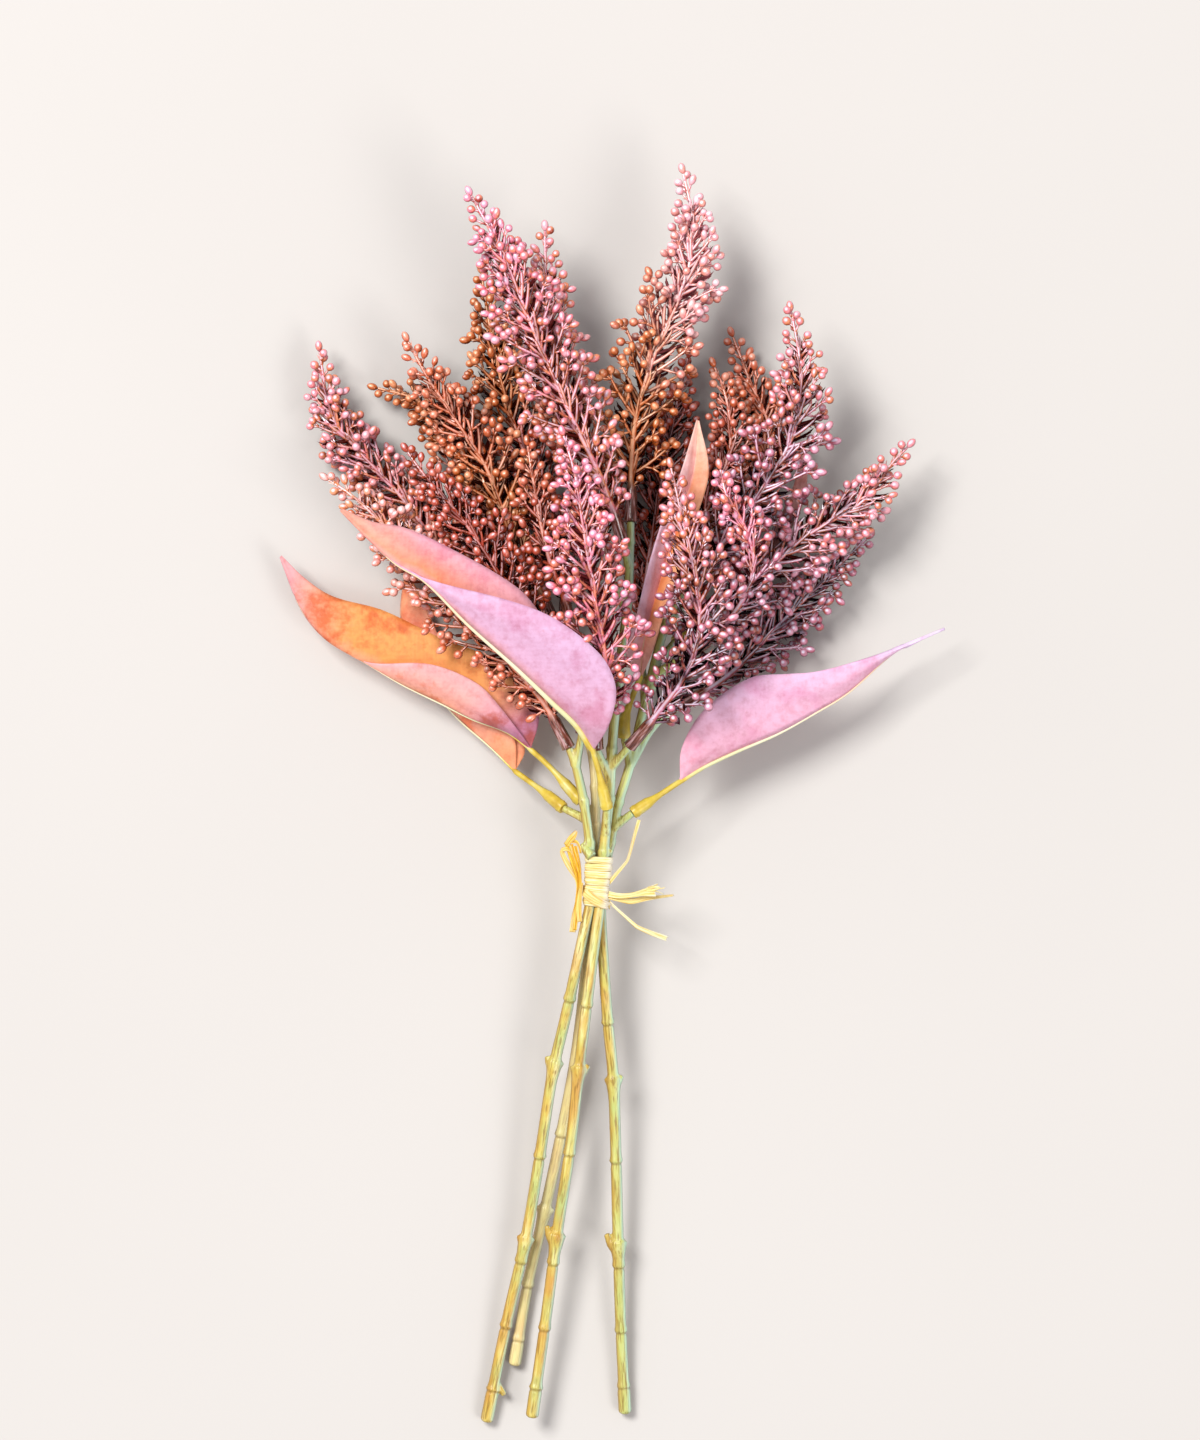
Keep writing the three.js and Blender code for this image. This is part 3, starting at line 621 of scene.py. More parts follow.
coloured = paint_over(tree, wash, [
    (patches, 0.45, 0.7, rightward, 0.8, "#b6c878"),
    (patches, 0.47, 0.34, 0.0, ochre_most, "#cf9c4c"),
    (spot["Y"], place((0, TIE_TOP, 0)).y, place((0, GREENEST, 0)).y, 0.0, 0.6, "#c0cc7c"),
    (ridges, 0.48, 0.34, 0.0, 0.7, "#8a6420"),
    # Painted highlight: pale mint on the side that faces right, wider above the tie.
    (facing["X"], right_highlight_start, 0.9, 0.0, 0.9, "#cffae6"),
    # Painted shade: gold and darker on the side that faces left.
    (facing["X"], -0.35, -0.9, 0.0, 0.6, "#bd882e"),
    # Painted light: the short stem is paler, against the shade of the other stems.
    (short, 0.0, 1.0, 0.0, 0.5, "#fbe6ae"),
    # Painted shade on what faces sideways.
    (facing["Z"], 0.62, 0.1, 0.0, 0.75, "#846a28"),
    # Painted shade in the grooves.
    (groove, 0.0, 1.0, 0.0, 0.45, "#7c5418")])
relief = add_node(tree, "Bump", {"Height": ridges, "Strength": 0.8, "Distance": 0.5 * MM})
set_inputs(shader, {"Base Color": coloured, "Normal": relief})
for node, stem in stems.items():
    finish_piece(stem, node, material)
print("nodes in the stem material:", len(tree.nodes))

# %% [markdown]
# ## A bud, a scale and a cup
#
# A spray is hundreds of round buds on thin scaly twigs. One bud, one scale and one empty cup are modelled
# by hand and copied. The bud starts as a small sphere with few faces, because it is repeated thousands of
# times: it is stretched a little, and its foot is drawn down into the twig. The scale starts as a thin
# cone whose wide end is extruded down to a narrow foot, so that it is shaped like a tiny leaf. The cup
# is a cone on its narrow end, whose top is extruded inwards to a rim and then down to a hollow.
#
# Each point also stores where it lies, for the paint: 0 on a twig, scale or cup, and on a bud from 0.5 at
# its foot to 1 on its top.

# %% Model the bud, the scale and the cup
BUD_RADIUS = 1.64 * MM
OVAL = 1.3
TWIG_RADIUS = 0.5 * MM
SCALE_LENGTH = 2.4 * MM
SCALE_RADIUS = 0.5 * MM
SCALE_FOOT = 0.3 * SCALE_LENGTH
CUP_RADIUS = 1.5 * MM
CUP_DEPTH = 2.6 * MM


def select_points(test):
    """In edit mode, select the points that pass the test, and nothing else."""
    shape = bmesh.from_edit_mesh(bpy.context.object.data)
    shape.select_mode = {"VERT"}
    for point in shape.verts:
        point.select = test(point.co)
    shape.select_flush_mode()
    bmesh.update_edit_mesh(bpy.context.object.data)


def move_points(offset):
    """In edit mode, move the selected points."""
    bpy.ops.transform.translate(value=offset)


def model_bud(oval):
    """A bud whose foot is at the origin and whose top is on +Z."""
    deselect()
    bpy.ops.mesh.primitive_uv_sphere_add(segments=8, ring_count=6, radius=BUD_RADIUS, location=(0, 0, 0))
    bpy.ops.object.mode_set(mode="EDIT")
    bpy.ops.transform.resize(value=(1 / math.sqrt(oval), 1 / math.sqrt(oval), oval))
    select_points(lambda co: co.z < -0.9 * BUD_RADIUS * oval)
    move_points((0, 0, -0.2 * BUD_RADIUS))
    select_points(lambda co: co.z > 0.9 * BUD_RADIUS * oval)
    move_points((0, 0, 0.06 * BUD_RADIUS))
    select_points(lambda co: True)
    move_points((0, 0, 1.1 * BUD_RADIUS * oval))
    bpy.ops.object.mode_set(mode="OBJECT")
    bpy.ops.object.shade_smooth()
    bud = bpy.context.object
    top = max(vertex.co.z for vertex in bud.data.vertices)
    mark(bud, "bud", [0.5 + 0.5 * vertex.co.z / top for vertex in bud.data.vertices])
    return bud


def standing_cone(sides, low_radius, high_radius, low, high):
    """A cone along +Z between two heights, in edit mode."""
    deselect()
    bpy.ops.mesh.primitive_cone_add(vertices=sides, radius1=low_radius, radius2=high_radius, depth=high - low,
                                    location=(0, 0, low + (high - low) / 2))
    bpy.ops.object.transform_apply(location=True)
    bpy.ops.object.mode_set(mode="EDIT")


def extrude_and_narrow(drop, width):
    """Extrude the selected face down by the drop, and narrow the new face to a share of its width."""
    bpy.ops.mesh.extrude_region_move(TRANSFORM_OT_translate={"value": (0, 0, -drop)})
    bpy.ops.transform.resize(value=(width, width, 1))


def model_scale():
    """A pointed scale whose foot is at the origin and whose tip is on +Z."""
    standing_cone(3, SCALE_RADIUS, 0, SCALE_FOOT, SCALE_LENGTH)
    select_points(lambda co: co.z < 1.1 * SCALE_FOOT)
    extrude_and_narrow(SCALE_FOOT, 0.3)
    select_points(lambda co: True)
    bpy.ops.transform.resize(value=(1, 0.55, 1))
    bpy.ops.object.mode_set(mode="OBJECT")
    mark(bpy.context.object, "bud", 0.0)
    return bpy.context.object


def model_cup():
    """An empty cup that flares open, whose foot is at the origin."""
    standing_cone(8, TWIG_RADIUS, CUP_RADIUS, 0, CUP_DEPTH)
    select_points(lambda co: co.z > 0.9 * CUP_DEPTH)
    extrude_and_narrow(0, 0.8)
    extrude_and_narrow(0.6 * CUP_DEPTH, 0.5)
    bpy.ops.object.mode_set(mode="OBJECT")
    bpy.ops.object.shade_smooth()
    mark(bpy.context.object, "bud", 0.0)
    return bpy.context.object


ROUND_BUD = model_bud(1.0)
OVAL_BUD = model_bud(OVAL)
SCALE = model_scale()
CUP = model_cup()
print("faces of a bud, a scale and a cup:", [len(one.data.polygons) for one in (ROUND_BUD, SCALE, CUP)])

# %% [markdown]
# ## Florets
#
# A floret is a twig with scales up its sides and a bud on top. Some fork and carry two, and a few low
# twigs end in an empty cup. Florets are made in a few lengths, because the twigs of a side branch get
# shorter towards its end. Lengths, turns and scales come from a seeded chance, so every run is the same.

# %% Model the florets
SCALE_PITCH = 2.2 * MM
SCALE_LEAN = (24, 48)
OVAL_SHARE = 0.12
FLORET_LENGTHS = (2.2, 3.4, 4.8, 6.4)
FLORETS_OF_A_LENGTH = 3
FORKED_OF_A_LENGTH = 2


def turned(spot, roll, lean, size=1.0):
    """The matrix that leans a piece away from +Z, rolls it round +Z and moves its foot to the spot."""
    return (Matrix.Translation(spot) @ Matrix.Rotation(roll, 4, "Z") @ Matrix.Rotation(lean, 4, "X")
            @ Matrix.Scale(size, 4))


def scaly_twig(length, chance):
    """A thin twig along +Z with a few pointed scales, as a list of objects."""
    deselect()
    bpy.ops.mesh.primitive_cone_add(vertices=4, radius1=TWIG_RADIUS, radius2=0.85 * TWIG_RADIUS,
                                    depth=length, location=(0, 0, length / 2))
    bpy.ops.object.shade_smooth()
    twig = bpy.context.object
    mark(twig, "bud", 0.0)
    parts = [twig]
    count = max(1, round(length / SCALE_PITCH))
    for index in range(count):
        foot = (0, 0, length * (index + chance.uniform(0.3, 0.8)) / count)
        lean = math.radians(chance.uniform(*SCALE_LEAN))
        parts.append(copy_of(SCALE, turned(foot, chance.uniform(0, math.tau), lean, 0.9)))
    return parts


def topped_twig(name, length, top, sink, chance):
    """A scaly twig with a bud or a cup on top, sunk in a little."""
    parts = scaly_twig(length, chance)
    parts.append(copy_of(top, Matrix.Translation((0, 0, length - sink))))
    return join(parts, name)


def model_floret(length, chance):
    """A bud on a twig of this length, with its scales."""
    bud = OVAL_BUD if chance.random() < OVAL_SHARE else ROUND_BUD
    return topped_twig("floret", length, bud, 0.4 * MM, chance)


def model_forked_floret(length, chance):
    """A twig that forks half way into two short florets."""
    parts = scaly_twig(length * 0.55, chance)
    for side, lean in ((0.0, 24), (math.pi, 34)):
        twig = model_floret(length * 0.5 * chance.uniform(0.9, 1.2), chance)
        twig.matrix_world = turned((0, 0, length * 0.5), side, math.radians(lean))
        parts.append(twig)
    return join(parts, "forked_floret")


chance = random.Random(11)
FLORETS = {length * MM: [model_floret(length * MM, chance) for _ in range(FLORETS_OF_A_LENGTH)]
           for length in FLORET_LENGTHS}
for length in FLORET_LENGTHS[2:]:
    FLORETS[length * MM] += [model_forked_floret(length * MM, chance) for _ in range(FORKED_OF_A_LENGTH)]
print("faces of the florets:", [len(one.data.polygons) for kind in FLORETS.values() for one in kind])

# %% [markdown]
# ## Side branches
#
# A side branch is a twig that bends a little and carries florets to its left and right, like a small
# fern, with bare stretches between them and two or three buds at its end. A few lengths are made once,
# each in several versions, and copied along every spray. The buds keep one size, as on the real thing, so
# a short branch has fewer buds and not smaller ones. Where a spray is narrow, a floret alone is the
# branch. Twigs without buds fill the inside of a spray.

# %% Model the side branches
BRANCH_BEND = 0.12
BRANCH_LENGTHS = (4.0, 7.5, 11.5, 16.0)
VERSIONS = 4
BARE_LENGTH = 9
CUP_TWIG_LENGTHS = (7, 9)
BRANCH_SCALE_PITCH = 1.9 * MM
BRANCH_SCALE_LEAN = (22, 46)
# The florets of a branch start at a share of its length, but no nearer to its foot than this.
BARE_FOOT = 2.6 * MM
BARE_SHARE = 0.34
FLORET_PITCH = 4.9 * MM
FLORET_LEAN = (38, 54)
FLORET_ROLL = 0.8
LAST_FLORET = 2.0 * MM
LONG_BRANCH = 7 * MM
# The florets at the end of a branch: how far each is rolled round it, and how far it leans in degrees.
THREE_ENDS = ((0, 8), (0.3, 42), (3.4, 42))
TWO_ENDS = ((0.2, 16), (3.0, 36))
END_REACH = 2.6 * MM
BUD_LENGTH = 2.9 * MM


def floret_near(wanted, chance):
    """A floret whose twig is about this long."""
    length = min(FLORETS, key=lambda one: abs(one - wanted))
    return chance.choice(FLORETS[length])


def model_branch(length, seed, bare=False):
    """A side branch along +Z that bends towards +Y, with its florets towards +Y and -Y."""
    chance = random.Random(seed)

    def spot(distance):
        return Vector((0, BRANCH_BEND * distance * distance / length, distance))

    stations = [(spot(length * index / 5), TWIG_RADIUS * (1.5 - 0.1 * index)) for index in range(6)]
    axis = rod("twig", stations, 0)
    mark(axis, "bud", 0.0)
    parts = [axis]
    distance = 1.0 * MM
    while distance < length:
        lean = math.radians(chance.uniform(*BRANCH_SCALE_LEAN))
        parts.append(copy_of(SCALE, turned(spot(distance), chance.uniform(0, math.tau), lean)))
        distance += BRANCH_SCALE_PITCH
    distance = max(BARE_SHARE * length, BARE_FOOT)
    side = chance.choice((0, 1))
    while distance < length - LAST_FLORET and not bare:
        roll = side * math.pi + chance.uniform(-FLORET_ROLL, FLORET_ROLL)
        floret = floret_near(0.4 * (length - distance) + 2.0 * MM, chance)
        lean = math.radians(chance.uniform(*FLORET_LEAN))
        parts.append(copy_of(floret, turned(spot(distance), roll, lean)))
        side = 1 - side
        distance += FLORET_PITCH * chance.uniform(0.85, 1.15)
    ends = THREE_ENDS if length > LONG_BRANCH and chance.random() < 0.6 else TWO_ENDS
    for roll, lean in () if bare else ends:
        floret = floret_near(chance.uniform(2.0, 3.6) * MM, chance)
        roll += chance.uniform(-0.7, 0.7)
        lean = math.radians(lean + chance.uniform(-8, 8))
        parts.append(copy_of(floret, turned(spot(length), roll, lean)))
    return join(parts, "side_branch")


# Each with how far it reaches from its foot to the top of its last bud.
BRANCHES = [(length + BUD_LENGTH, floret) for length, kind in FLORETS.items()
            for floret in kind[:FLORETS_OF_A_LENGTH]]
for number, length in enumerate(BRANCH_LENGTHS):
    for seed in range(VERSIONS):
        branch = model_branch(length * MM, 100 * number + seed)
        BRANCHES.append((length * MM + END_REACH + BUD_LENGTH, branch))
BARE_TWIGS = [model_branch(BARE_LENGTH * MM, 900 + seed, bare=True) for seed in range(3)]
CUP_TWIGS = [topped_twig("cup_twig", length * MM, CUP, 0.3 * MM, random.Random(length))
             for length in CUP_TWIG_LENGTHS]
print("faces of the branches:", [len(branch.data.polygons) for _, branch in BRANCHES])

# %% [markdown]
# ## Growing a spray
#
# A spray has a brown sleeve that is pushed onto its shoot, then a ridged axis with side branches, long
# near the foot and short at the tip. Placing hundreds of branches by hand would look patterned, so they
# go up the axis in a spiral, each turned by the golden angle, as buds do in nature. A moulded spray is
# flatter than a natural one, so the spiral is pressed flat and most branches go to the left and right,
# which leaves the axis in sight. For the same reason the axis lies nearer the upper side than the lower.
#
# The CAD rings say how wide and how deep a spray may be, with a factor where the outline in the photo is
# wider or narrower than the CAD rod. A branch that would go through the table is turned up, and what is
# still too low is pressed up to lie on it. A branch that would come out through a leaf is left out.
# Twigs without buds fill the inside, and empty cups stand low on three of the sprays.

# %% Where a branch may go
UPPER_FLATNESS = 0.36
LOWER_FLATNESS = 0.85
UPPER_SPREAD = 0.34
TABLE_GAP = 0.4 * MM
TABLE_CLEARANCE = 2.5 * MM
TIP_HALF_WIDTH = 2.0 * MM
TIP_SLOPE = 0.31
LEAF_GAP = 4 * MM
BLADES = [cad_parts[name] for name in sorted(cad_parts) if name.endswith("_blade")]
# Sprays whose outline in the photo differs from the CAD rod: a factor for the width, and extra length.
OUTLINES = {
    "spray_01_tall_left": (1.04, 0.0), "spray_02_tall_right": (1.2, 0.0), "spray_03_tall_centre": (1.0, 1.5),
    "spray_08_far_left": (0.9, 0.0), "spray_09_upper_left": (1.0, 4.0), "spray_10_back_left": (1.25, 4.0),
    "spray_13_back_right": (1.15, 4.0), "spray_14_inner_right": (1.25, 0.0),
    "spray_15_top_right": (0.74, 0.0), "spray_16_far_right": (1.14, 0.0), "spray_17_low_right": (0.92, 0.0),
}


def flat_outward(side, lift, angle):
    """The direction at this angle round the axis, pressed flat, and more so on the upper side."""
    level, rise = math.cos(angle), math.sin(angle)
    if rise < 0:
        return (side * level + lift * rise * LOWER_FLATNESS).normalized()
    level = math.copysign(max(abs(level), UPPER_SPREAD), level)
    return (side * level + lift * rise * UPPER_FLATNESS).normalized()


def fitted_reach(remaining, lean, radius):
    """The longest branch that ends inside the outline of the spray, which is a cone near the tip."""
    reach = radius / math.sin(lean)
    while reach * math.sin(lean) > TIP_HALF_WIDTH + TIP_SLOPE * (remaining - reach * math.cos(lean)):
        reach -= 0.3 * MM
    return max(reach, FLORET_LENGTHS[0] * MM + BUD_LENGTH)


def leaning(heading, outward, lean):
    """The direction that leans away from the heading by an angle."""
    return heading * math.cos(lean) + outward * math.sin(lean)


def aimed(spot, heading, outward, lean, roll=0, size=1.0):
    """The matrix of a branch that leaves the axis at an angle and bends towards its tip."""
    forward = leaning(heading, outward, lean).normalized()
    across = heading.cross(forward).normalized()
    upward = forward.cross(across)
    turn = Matrix((across, upward, forward)).transposed().to_4x4()
    return Matrix.Translation(spot) @ turn @ Matrix.Rotation(roll, 4, "Z") @ Matrix.Scale(size, 4)


def above_table(spot, heading, outward, lean, reach):
    """The outward direction, turned up where the branch would go through the table."""
    low = spot.z + leaning(heading, outward, lean).z * reach
    if low > TABLE_CLEARANCE:
        return outward
    lifted = Vector((outward.x, outward.y, outward.z + (TABLE_CLEARANCE - low) / reach / math.sin(lean)))
    return (lifted - heading * lifted.dot(heading)).normalized()


def pierces_leaf(spot, heading, outward, lean, reach):
    """Whether a branch that starts below a leaf would come out on top of it."""
    for share in (0.7, 1.0):
        end = spot + leaning(heading, outward, lean) * reach * share
        for blade in BLADES:
            hit, leaf_top, _, _ = blade.ray_cast(Vector((end.x, end.y, 0.2)), Vector((0, 0, -1)))
            if hit and spot.z < leaf_top.z < end.z + LEAF_GAP:
                return True
    return False


print("leaves that a branch may meet:", len(BLADES))

# %% The axis, and where painted shade falls
SLEEVE_LENGTH = 12 * MM
SLEEVE_RADIUS = 2.5 * MM
AXIS_RADIUS = 1.35 * MM
AXIS_TIP_RADIUS = 0.5 * MM
AXIS_STEPS = 30
CELL = 2.5 * MM
# How deep into a spray the painted shade grows to full.
SHADE_DEPTH = 16 * MM
LOW_POINT = 2 * MM
SINK_LIMIT = 6 * MM


def model_axis(route, on_axis, grown):
    """The sleeve with its rolled lip, and the axis that thins out to the tip."""
    stations = [(route.at(0)[0], SLEEVE_RADIUS * 0.8), (route.at(0.3 * MM)[0], SLEEVE_RADIUS * 1.08),
                (route.at(1.5 * MM)[0], SLEEVE_RADIUS)]
    for index in range(AXIS_STEPS + 1):
        share = index / AXIS_STEPS
        radius = SLEEVE_RADIUS * 0.9 if index == 0 else AXIS_RADIUS + (AXIS_TIP_RADIUS - AXIS_RADIUS) * share
        stations.append((on_axis(SLEEVE_LENGTH + grown * share)[0], radius))
    axis = rod("axis", stations)
    mark(axis, "bud", 0.0)
    mark_streaks(axis, route)
    along = read_marks(axis, "along")
    mark(axis, "sleeve", [float(distance < SLEEVE_LENGTH + 0.5 * MM) for distance in along])
    mark(axis, "height", [max(0.0, distance / route.length) for distance in along])
    mark(axis, "tint", 0.7)
    mark(axis, "open", 1.0)
    return axis


def lay_on_table(spray):
    """Press up what is lower than the table, and keep its order of height."""
    for vertex in spray.data.vertices:
        if vertex.co.z < LOW_POINT:
            risen = max(0.0, vertex.co.z + SINK_LIMIT)
            vertex.co.z = TABLE_GAP + risen * (LOW_POINT - TABLE_GAP) / (LOW_POINT + SINK_LIMIT)


def mark_painted_shade(spray):
    """Store how near each point lies to the upper or lower outside of the spray; the deeper it lies, the more
    painted shade it gets.
    """
    top, bottom = {}, {}
    cells = []
    for vertex in spray.data.vertices:
        cell = (int(vertex.co.x // CELL), int(vertex.co.y // CELL))
        cells.append(cell)
        top[cell] = max(top.get(cell, 0.0), vertex.co.z)
        bottom[cell] = min(bottom.get(cell, 1.0), vertex.co.z)
    around = {cell: [(cell[0] + x, cell[1] + y) for x in (-1, 0, 1) for y in (-1, 0, 1)] for cell in top}
    roof = {cell: max(top.get(near, 0.0) for near in group) for cell, group in around.items()}
    ground = {cell: min(bottom.get(near, 1.0) for near in group) for cell, group in around.items()}
    depth = [min(roof[cell] - vertex.co.z, vertex.co.z - ground[cell])
             for cell, vertex in zip(cells, spray.data.vertices)]
    mark(spray, "open", [share * max(0.0, 1 - below / SHADE_DEPTH)
                         for share, below in zip(read_marks(spray, "open"), depth)])


print("axis radius in mm, at the foot and at the tip:", AXIS_RADIUS / MM, AXIS_TIP_RADIUS / MM)

# %% Grow the sprays
GOLDEN_ANGLE = math.radians(137.5)
WIDTH_GAIN = 1.34
DEPTH_GAIN = 1.3
STATION_PITCH = 2.5 * MM
CLOSER_AT_TIP = 0.2
FIRST_BRANCH = 1.0 * MM
LAST_BRANCH = 2.0 * MM
AXIS_RISE = 0.3
AXIS_BEND = 0.2
# How far a branch leans, in degrees, and how its reach varies: less near the foot, and by chance.
FOOT_LEAN = 53
TIP_LEAN = 40
LEAN_CHANCE = 7
FOOT_REACH = 0.62
FULL_REACH_FROM = 0.22
REACH_CHANCE = (0.78, 1.1)
LENGTH_CHOICE = 0.1 * MM
SMALLEST_BRANCH = 0.9
LARGEST_BRANCH = 1.1
BRANCH_ROLL = 0.5
AXIS_SCALE_LEAN = math.radians(26)
AXIS_SCALE_SIZE = 1.3
# Each twig without buds: how far round, how far it leans in degrees, how much of its lit colour it keeps, the
# rest being painted shade, and up or down.
INNER_TWIGS = ((1.3, 44, 0.75, 0.3), (2.4, 60, 0.2, -1.0), (5.2, 60, 0.2, -1.0))
INNER_TOP = 0.88
INNER_REACH = 0.62
INNER_CHANCE = 5
LARGEST_TWIG = 1.15
CUPPED = {"spray_05_front_right", "spray_06_front_left", "spray_18_back_centre"}
CUP_TOP = 0.24
CUP_LEAN = 0.8
# The share of a cup's lit colour, the rest being painted shade.
CUP_UNSHADED = 0.5


def fitting_branch(spot, heading, outward, lean, reach, chance):
    """A branch of about this reach, and the matrix that puts it in its place."""
    gap = min(abs(length - reach) for length, _ in BRANCHES)
    fitting = [(length, branch) for length, branch in BRANCHES
               if abs(length - reach) < gap + LENGTH_CHOICE]
    length, branch = fitting[chance.randrange(len(fitting))]
    size = min(LARGEST_BRANCH, max(SMALLEST_BRANCH, reach / length))
    return branch, aimed(spot, heading, outward, lean, chance.uniform(-BRANCH_ROLL, BRANCH_ROLL), size)


def grow_spray(node, seed):
    """One whole spray, grown inside the rings of its CAD rod."""
    chance = random.Random(seed)
    rings = ring_walk(node)
    centres = [ring_centre(ring) for ring in rings]
    route = Route(centres)
    gain, extra = OUTLINES.get(node, (1.0, 0.0))
    spokes = [spot - centre for ring, centre in zip(rings, centres) for spot in ring]
    wide = gain * WIDTH_GAIN * max(spoke.xy.length for spoke in spokes)
    deep = DEPTH_GAIN * max(spoke.z for spoke in spokes)
    grown = route.length + extra * MM - SLEEVE_LENGTH - BUD_LENGTH

    def on_axis(distance):
        """A place on the axis, which lies nearer the upper side of the spray than the middle."""
        share = max(0.0, (distance - SLEEVE_LENGTH) / grown)
        spot, heading = route.at(distance)
        rise = AXIS_RISE * deep * max(0.0, min(1.0, share / AXIS_BEND, (1 - share) / AXIS_BEND))
        return spot + Vector((0, 0, rise)), heading

    parts = [model_axis(route, on_axis, grown)]

    def add(original, matrix, share, paint=1.0):
        """Copy a twig or a scale to its place, with its height, its share of lit colour against painted
        shade, and its tint.
        """
        part = copy_of(original, matrix)
        mark(part, "height", share)
        mark(part, "open", paint)
        mark(part, "tint", chance.random())
        parts.append(part)

    tip, heading = on_axis(SLEEVE_LENGTH + grown)
    add(OVAL_BUD, aimed(tip, level_side(heading), heading, math.pi / 2), 1.0)
    angle = chance.uniform(0, math.tau)
    distance = FIRST_BRANCH
    while distance < grown - LAST_BRANCH:
        share = distance / grown
        spot, heading = on_axis(SLEEVE_LENGTH + distance)
        side = level_side(heading)
        lift = side.cross(heading)
        angle += GOLDEN_ANGLE
        outward = flat_outward(side, lift, angle)
        depth = deep * (1 - AXIS_RISE if outward.dot(lift) > 0 else 1 + AXIS_RISE)
        radius = 1 / math.hypot(outward.dot(side) / wide, outward.dot(lift) / depth)
        lean = FOOT_LEAN - (FOOT_LEAN - TIP_LEAN) * share + chance.uniform(-LEAN_CHANCE, LEAN_CHANCE)
        lean = math.radians(lean)
        fullness = FOOT_REACH + (1 - FOOT_REACH) * min(1.0, share / FULL_REACH_FROM)
        radius *= fullness * chance.uniform(*REACH_CHANCE)
        reach = fitted_reach(grown + BUD_LENGTH - distance, lean, radius)
        outward = above_table(spot, heading, outward, lean, reach)
        branch, matrix = fitting_branch(spot, heading, outward, lean, reach, chance)
        if not pierces_leaf(spot, heading, outward, lean, reach):
            add(branch, matrix, share)
        outward = side * math.cos(angle + 2) + lift * math.sin(angle + 2)
        add(SCALE, aimed(spot, heading, outward, AXIS_SCALE_LEAN, size=AXIS_SCALE_SIZE), share)
        for turn, lean, paint, rise in INNER_TWIGS if share < INNER_TOP else ():
            outward = side * math.cos(angle + turn) + lift * rise * abs(math.sin(angle + turn))
            twig = chance.choice(BARE_TWIGS)
            size = min(LARGEST_TWIG, INNER_REACH * reach / (BARE_LENGTH * MM))
            lean = math.radians(lean + chance.uniform(-INNER_CHANCE, INNER_CHANCE))
            add(twig, aimed(spot, heading, outward, lean, size=size), share, paint)
        if node in CUPPED and share < CUP_TOP:
            outward = flat_outward(side, lift, angle + math.pi)
            outward = above_table(spot, heading, outward, CUP_LEAN, BARE_LENGTH * MM)
            add(chance.choice(CUP_TWIGS), aimed(spot, heading, outward, CUP_LEAN), share, CUP_UNSHADED)
        distance += STATION_PITCH * (1 - CLOSER_AT_TIP * share)
    spray = join(parts, node + "_grown")
    lay_on_table(spray)
    mark_painted_shade(spray)
    return spray


SPRAY_NODES = sorted(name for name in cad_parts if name.startswith("spray_"))
sprays = {node: grow_spray(node, seed) for seed, node in enumerate(SPRAY_NODES)}
print("faces of the sprays:", {node[:8]: len(spray.data.polygons) for node, spray in sprays.items()})

# %% [markdown]
# ## The spray material: polyethylene, moulded and airbrushed
#
# The sprays are moulded plastic, airbrushed salmon to pink. Deep inside a spray the colour turns to a dark
# red-brown and the gloss drops: this is painted shade, where little light gets in. The outside has a thin
# glossy coat. The side of a bud or twig that faces away from the upper left is painted darker as painted
# shade, and what faces the upper left has a pale mauve painted highlight. The sprays differ from rust to
# plum, and some change colour from foot to tip. One recipe with named colour families makes them all. Numbers
# stored in the mesh say what is bud, how near the outside a point lies and so how much painted shade it gets,
# how high up the spray its branch sits, and a tint that differs by branch. The sleeve has a cover of its own,
# with streaks drawn along it.

# %% Spray materials
# The direction the painted light comes from, at the upper left: it sets the painted highlight and the painted
# shade on the far side.
PAINTED_LIGHT_FROM = (-0.25, 0.27, 0.93)
FAMILIES = {
    # family: painted shade for the inside, four colours of the paint from deep to light, the painted
    # highlight on top
    "mauve": ("#4a140e", "#ac4630", "#ea8e5e", "#f0848a", "#fab2bc", "#f6e0f4"),
    "pink": ("#561a1c", "#bc463e", "#f28c6a", "#f67e92", "#fdb0c8", "#fce4f6"),
    "plum": ("#14050a", "#6a2426", "#c26a58", "#c06074", "#de9cb2", "#eeebff"),
    "rust": ("#340a05", "#8c321c", "#d86c3c", "#e27254", "#f6a284", "#fccab8"),
    "brown": ("#2a0802", "#70260a", "#c05e22", "#d06c3c", "#f29c6a", "#fcc49a"),
    "red": ("#1e0403", "#6c1c0e", "#b84a22", "#be4834", "#e07c64", "#ecc0c4"),
    "blush": ("#9a5256", "#de7c74", "#fca692", "#fca8b2", "#fed4dc", "#fff4fb"),
    "peach": ("#783220", "#e87e54", "#ffac74", "#ffa096", "#ffccc4", "#fff0f8"),
}
SPRAY_COLOURS = {
    # spray: its family at the foot and at the tip
    "spray_01_tall_left": ("mauve", "pink"), "spray_02_tall_right": ("brown", "blush"),
    "spray_03_tall_centre": ("rust", "mauve"), "spray_04_front_centre": ("pink", "pink"),
    "spray_05_front_right": ("plum", "mauve"), "spray_06_front_left": ("red", "red"),
    "spray_07_low_left": ("rust", "peach"), "spray_08_far_left": ("rust", "mauve"),
    "spray_09_upper_left": ("brown", "rust"), "spray_10_back_left": ("red", "brown"),
    "spray_11_back_tall": ("red", "brown"), "spray_12_upper_right": ("plum", "mauve"),
    "spray_13_back_right": ("brown", "rust"), "spray_14_inner_right": ("red", "rust"),
    "spray_15_top_right": ("plum", "pink"), "spray_16_far_right": ("plum", "mauve"),
    "spray_17_low_right": ("plum", "plum"), "spray_18_back_centre": ("red", "red"),
    "spray_19_inner_left": ("red", "rust"),
}


